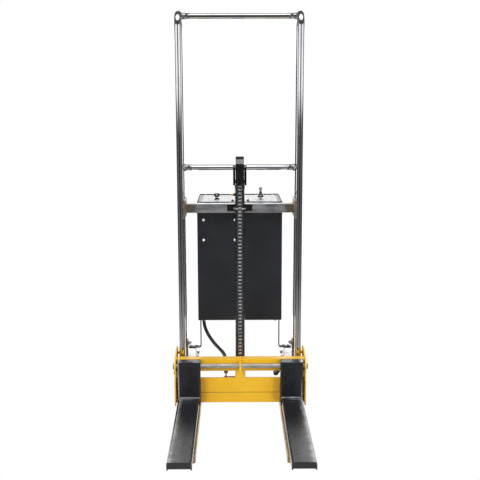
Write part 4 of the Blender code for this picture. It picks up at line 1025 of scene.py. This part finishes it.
def cylinder_and_head():
    low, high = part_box("cylinder_barrel")
    profile = [(0, low.z), (CYL_R - 0.0006, low.z), (CYL_R, low.z + 0.0006), (CYL_R, high.z - 0.001),
               (CYL_R - 0.001, high.z), (0.0165, high.z), (0.0165, high.z - 0.02), (0, high.z - 0.02)]
    barrel = turned("cylinder_barrel_painted", profile, (0, CYL_Y, 0), UP, 56, "root", DEEP_BLACK)
    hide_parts("cylinder_barrel")
    refined("cylinder_gland", DARK_STEEL, 0.0005)
    refined("cylinder_foot", DARK_STEEL, 0.0008)
    refined("cylinder_clamp_plate", GLOSS_BLACK, 0.0006)
    refined("ram_head", HOOD_BLACK, 0.0013, 3)
    refined("chain_guard", HOOD_BLACK, 0.0014, 4)
    refined("pulley_axle", ZINC, 0.001)
    dress("ram_rod", CHROME)
    refined("chain_pulley", ZINC, 0.0005)
    bm = bmesh.new()
    low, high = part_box("bleed_fitting")
    x, z = high.x, (low.z + high.z) / 2
    lathe(bm, mm((0, -0.6), (5.8, -0.6), (6.5, 0.2), (6.5, 5.4), (5.8, 6), (0, 6)),
          (x, CYL_Y, z), (-1, 0, 0), 20)
    lathe(bm, mm((0, 0), (4.6, 0), (4.6, 10.5), (4, 11.5), (0, 11.5)),
          (x - 0.001, CYL_Y, z + 0.002), (0.35, -0.93, -0.1), 16)
    piece("bleed_elbow", bm, "root", DARK_STEEL)
    screw = turned("bleed_screw", mm((0, 6), (3.4, 6), (3.4, 7.4), (5, 7.4), (5, 14), (3.6, 14.6),
                                     (3.6, 19.2), (2.6, 20.5), (0, 20.5)), (x, CYL_Y, z), (-1, 0, 0), 6,
                   "root", BRASS)
    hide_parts("bleed_fitting")


# ---- carriage and forks

def carriage():
    refined("carriage_frame", CARRIAGE_YELLOW, 0.0006)
    bm = bmesh.new()
    x = 0.2812
    seed = side_welds(bm, 0.0021, 60, (
        [(x, 0.08, 0.203), (x, 0.08, 0.252)], [(x, 0.08, 0.057), (x, 0.08, 0.163)],
        [(x, 0.084, 0.2545), (x, 0.114, 0.2545)], [(0.0208, 0.0803, 0.168), (0.0208, 0.0803, 0.198)]))
    side_welds(bm, 0.0016, seed, ([(0.0047, 0.079, 0.209), (0.0047, 0.079, 0.25)],))
    piece("carriage_welds", bm, "carriage", YELLOW)
    refined("fork_rod", ROD_STEEL, 0.001)
    for tag, _ in TAGS:
        refined("rod_nut_" + tag, ZINC, 0.0008)
        for level in ("upper", "lower"):
            refined("guide_roller_%s_%s" % (level, tag), NYLON, 0.0008)
    refined("carriage_stop_knob", RUBBER, 0.0004)
    refined("chain_clevis", ZINC, 0.0004)
    refined("chain_anchor", ZINC, 0.0004)


def forks():
    for tag, side in TAGS:
        bm = cad_mesh("fork_" + tag)

        def outer_long(edge):
            """The long edges of the blade's top and of the front of the upright part."""
            a, b = edge.verts[0].co, edge.verts[1].co
            middle = (a + b) / 2
            edge_x = min(abs(abs(middle.x) - x) for x in FORK_EDGES) < 0.0008
            along_y = abs(a.y - b.y) > 0.3 and middle.z > 0.08
            upright = abs(a.z - b.z) > 0.1 and middle.y < 0.04
            return edge_x and (along_y or upright)

        soften(bm, FORK_ROUND, 6, pick=outer_long, layer="long_edge")
        soften(bm, FORK_SOFT, pick=lambda edge: edge.calc_length() > 0.004)
        made = piece("fork_%s_painted" % tag, bm, tag + "_fork", FORK_BLACK)
        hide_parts("fork_" + tag)
        bm = bmesh.new()
        inner, outer = side * (FORK_X[0] + 0.005), side * (FORK_X[1] - 0.005)
        weld_bead(bm, [(inner, 0.03, 0.0925), (outer, 0.03, 0.0925)], 0.004, 90 + side, sides=10)
        piece("fork_%s_weld" % tag, bm, tag + "_fork", SCUFFED)


# ---- base, legs, casters

def base():
    refined("base_frame", BASE_YELLOW, 0.0012)
    bm = bmesh.new()
    x = 0.2312
    side_welds(bm, 0.0022, 120, (
        [(x, 0.126, 0.0755), (x, 0.174, 0.0755)], [(x, 0.126, 0.1345), (x, 0.174, 0.1345)],
        [(x, 0.1255, 0.077), (x, 0.1255, 0.133)], [(x, 0.289, 0.1555), (x, 0.311, 0.1555)],
        [(0.244, 0.125, 0.0505), (0.244, 0.29, 0.0505)]))
    piece("base_welds", bm, "root", YELLOW)
    for tag, _ in TAGS:
        refined("load_roller_" + tag, NYLON, 0.0008)
        refined("caster_bracket_" + tag, BRACKET_ZINC, 0.0006)
        refined("caster_fork_" + tag, BRACKET_ZINC, 0.0006)
        refined("caster_brake_" + tag, RUBBER, 0.001)
        refined("box_strap_" + tag, SATIN_BLACK, 0.0005)
        caster_wheel(tag)
    bm = bmesh.new()
    for side in SIDES:
        for x, turn in ((0.205, 0.0), (0.227, 0.3)):
            hex_bolt(bm, (side * x, STRAP_Y, 0.24), UP, 0.011, 0.0058, washer=0.008, turn=turn)
        hex_bolt(bm, (side * 0.164, STRAP_Y, 0.369), (0, 0, -1), 0.01, 0.005, washer=0.0075)
    piece("strap_bolts", bm, "root", BRIGHT_ZINC)


def both_ways(half_profile):
    """The whole of a profile that is the same on both sides of its middle."""
    return half_profile + [(radius, -height) for radius, height in reversed(half_profile)]


def caster_wheel(tag):
    """Tyre and hub of one caster, on the CAD wheel's own axle."""
    low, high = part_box("caster_wheel_" + tag)
    centre = (low + high) / 2
    turn = math.radians(-7 if tag == "left" else 5)
    axle = Vector((math.cos(turn), math.sin(turn), 0))
    body = tag + "_caster_wheel"
    radius, half, shoulder = 0.05, 0.016, 0.0065
    profile = [(0.0385, -0.0145), (0.04, -half)]
    for angle in (15, 35, 55, 75, 90):
        angle = math.radians(angle)
        profile.append((radius - shoulder + shoulder * math.sin(angle),
                        -half + shoulder * (1 - math.cos(angle))))
    tyre = turned("caster_tyre_" + tag, both_ways(profile), centre, axle, 64, body, RUBBER)
    rim = mm((5.3, -16), (12, -16), (13.2, -15), (14, -11), (30, -10.5), (34, -14), (38.3, -14.6))
    turned("caster_hub_" + tag, both_ways(rim), centre, axle, 48, body, GREY_HUB)
    bm = bmesh.new()
    up = Vector(UP)
    across = axle.cross(up)
    for face in SIDES:
        for k in range(5):
            angle = 2 * math.pi * k / 5
            ray = up * math.cos(angle) + across * math.sin(angle)
            lathe(bm, mm((0, 10), (3.4, 10), (2.6, 13), (0, 13.4)), centre + ray * 0.0215, axle * face, 12)
    piece("caster_hub_rivets_" + tag, bm, body, ZINC)
    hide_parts("caster_wheel_" + tag)


# ---- power box and controls

def power_box():
    refined("box_shell", SATIN_BLACK, 0.0012, 3)
    refined("box_rear_cover", SATIN_BLACK, 0.0009, 3)
    refined("box_top_panel", PANEL, 0.0006)
    bm = bmesh.new()
    for side in SIDES:
        near, far = sorted((side * 0.1725, side * 0.188))
        outline = [(near, 0.285), (far, 0.285), (far, 0.578), (near, 0.578)]
        soft_extrude(bm, outline, "Z", PANEL_Z, PANEL_Z + 0.0008, 0.0003)
    piece("panel_side_strips", bm, "root", SPECKLE)

    bm = bmesh.new()
    for x in (-0.1634, -0.0212):
        for z in (0.8417, 0.75):
            button_screw(bm, (x, BOX_FRONT, z), (0, -1, 0), 0.006, 0.0036)
    for side in SIDES:
        for z in (0.643, 0.409, 0.87):
            for y in (0.3, 0.56):
                button_screw(bm, (side * BOX_HALF_W, y, z), (side, 0, 0), 0.0042, 0.0024)
        for z in (0.39, 0.65, 0.908):
            button_screw(bm, (side * 0.18, BOX_REAR, z), (0, 1, 0), 0.0046, 0.0026)
        for y in (0.3, 0.565):
            button_screw(bm, (side * 0.162, y, PANEL_Z), (0, 0, 1), 0.0036, 0.002)
    piece("box_screws", bm, "root", SCREW_METAL)

    bm = bmesh.new()
    for x, y in ((-0.0313, 0.3387), (0.0388, 0.3443)):
        hex_bolt(bm, (x, y, PANEL_Z), UP, 0.01, 0.005, washer=0.008, turn=0.25)
    piece("panel_nuts", bm, "root", DARK_STEEL)

    bm = bmesh.new()
    for row in range(7):
        z = 0.42 + 0.0155 * row
        for x in (-0.085, 0.085):
            outline = [(BOX_REAR + out, z + up) for out, up in (
                (-0.0004, -0.0052), (0.0034, -0.0046), (0.0044, -0.0034),
                (0.0036, -0.0012), (0.0014, 0.003), (-0.0004, 0.005))]
            soft_extrude(bm, outline, "X", x - 0.048, x + 0.048, 0.0009)
    piece("rear_louvres", bm, "root", SATIN_BLACK)

    turned("charger_inlet", mm((0, 0), (18, 0), (18, 3), (16.8, 4.2), (14, 4.6), (13.6, 2), (5.2, 2),
                               (5.2, 5.2), (0, 5.6)), INLET_SPOT, (0, 1, 0), 40,
           "root", RUBBER)
    hose_x, hose_y = HOSE_ROUTE[0][:2]
    turned("hose_grommet", mm((8, -2.2), (13.8, -2.2), (13.8, 0.6), (12.6, 1.6), (9.2, 1.6),
                              (8, 0.4)), (hose_x, hose_y, BOX_LOW - 0.0016), (0, 0, -1), 32,
           "root", RUBBER)


def controls():
    """Key with its plastic head, the switch's ring, and the lever with its bell and ball."""
    ring = turned("key_switch_ring", mm((5.6, 0.3), (13.5, 0.3), (13.5, 1.8), (12.6, 2.5), (8.8, 2.8),
                                        (8.5, 4), (8.5, 7.8), (7.8, 8.5), (5.6, 8.5)), KEY_SPOT, UP, 40,
                  "root", DARK_STEEL)
    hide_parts("key_switch_body")
    bm = bmesh.new()
    x, y, z = KEY_SPOT
    lathe(bm, mm((0, 0), (4.8, 0), (4.8, 11.8), (0, 11.8)), KEY_SPOT, UP, 24)
    lathe(bm, mm((0, -2.7), (4.2, -2.7), (5, -2.2), (5, 2.2), (4.2, 2.7), (0, 2.7)),
          (x, y, z + 0.0232), (0, 1, 0), 28)
    key = piece("key_blade", bm, "switch_key", BRIGHT_ZINC)
    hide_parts("key")
    bm = bmesh.new()
    outline = []
    for corner_x, corner_z, start in ((x + 0.0065, z + 0.022, 0), (x - 0.0065, z + 0.022, 90),
                                      (x - 0.0065, z + 0.018, 180), (x + 0.0065, z + 0.018, 270)):
        outline += arc(corner_x, corner_z, 0.0065, start, start + 90, 8)
    soft_extrude(bm, outline, "Y", y - 0.0025, y + 0.0025, 0.001, 3, 60)
    piece("key_head", bm, "switch_key", RUBBER)

    collar = turned("lever_collar", mm((5.6, 0.3), (12.5, 0.3), (12.5, 1.8), (11.6, 2.5), (9.4, 3),
                                       (9.2, 3.6), (9.2, 5.6), (8.6, 6.2), (6.8, 6.2)), LEVER_SPOT, UP, 40,
                    "root", BRIGHT_ZINC)
    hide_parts("lift_lever_base")
    bell = mm((0, 3), (3, 3), (3, 10.8), (14.2, 10.5), (15.2, 10.9), (15.5, 11.8), (15.3, 13), (14.6, 14.8),
              (12.8, 18.6), (10.6, 23.8), (9, 28), (7.4, 32.2), (6.2, 35.6), (5.6, 38.4), (5.4, 40.8),
              (5.8, 42.4))
    ball = [(across, up) for up, across in arc(0.049, 0.0, 0.0085, 138, 6, 14)]
    lever = turned("lift_lever_chrome", bell + ball + [(0, 0.0575)], LEVER_SPOT, UP, 40, "control_lever",
                   LEVER_METAL)
    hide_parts("lift_lever")
    turned("lever_bell_rim", mm((14.6, 10.1), (15.6, 10.5), (16, 11.4), (15.6, 12.4), (15, 12.6),
                                (15, 11.2)), LEVER_SPOT, UP, 40, "control_lever", RUBBER)


def inside_the_box():
    for node, finish in (("battery", BATTERY), ("pump_motor", MOTOR), ("pump_block", ALUMINIUM),
                         ("oil_tank", TANK), ("motor_contactor", MOTOR)):
        dress(node, finish)


hydraulic_hose()
masts()
bar_welds()
cross_member()
u_bolt()
lift_chain()
cylinder_and_head()
carriage()
forks()
base()
power_box()
controls()
inside_the_box()
for bar in ("top_crossbar", "middle_crossbar"):
    dress(bar, CHROME)
refined("hose_fitting_lower", BRASS, 0.0005)
refined("hose_fitting_upper", BRASS, 0.0005)
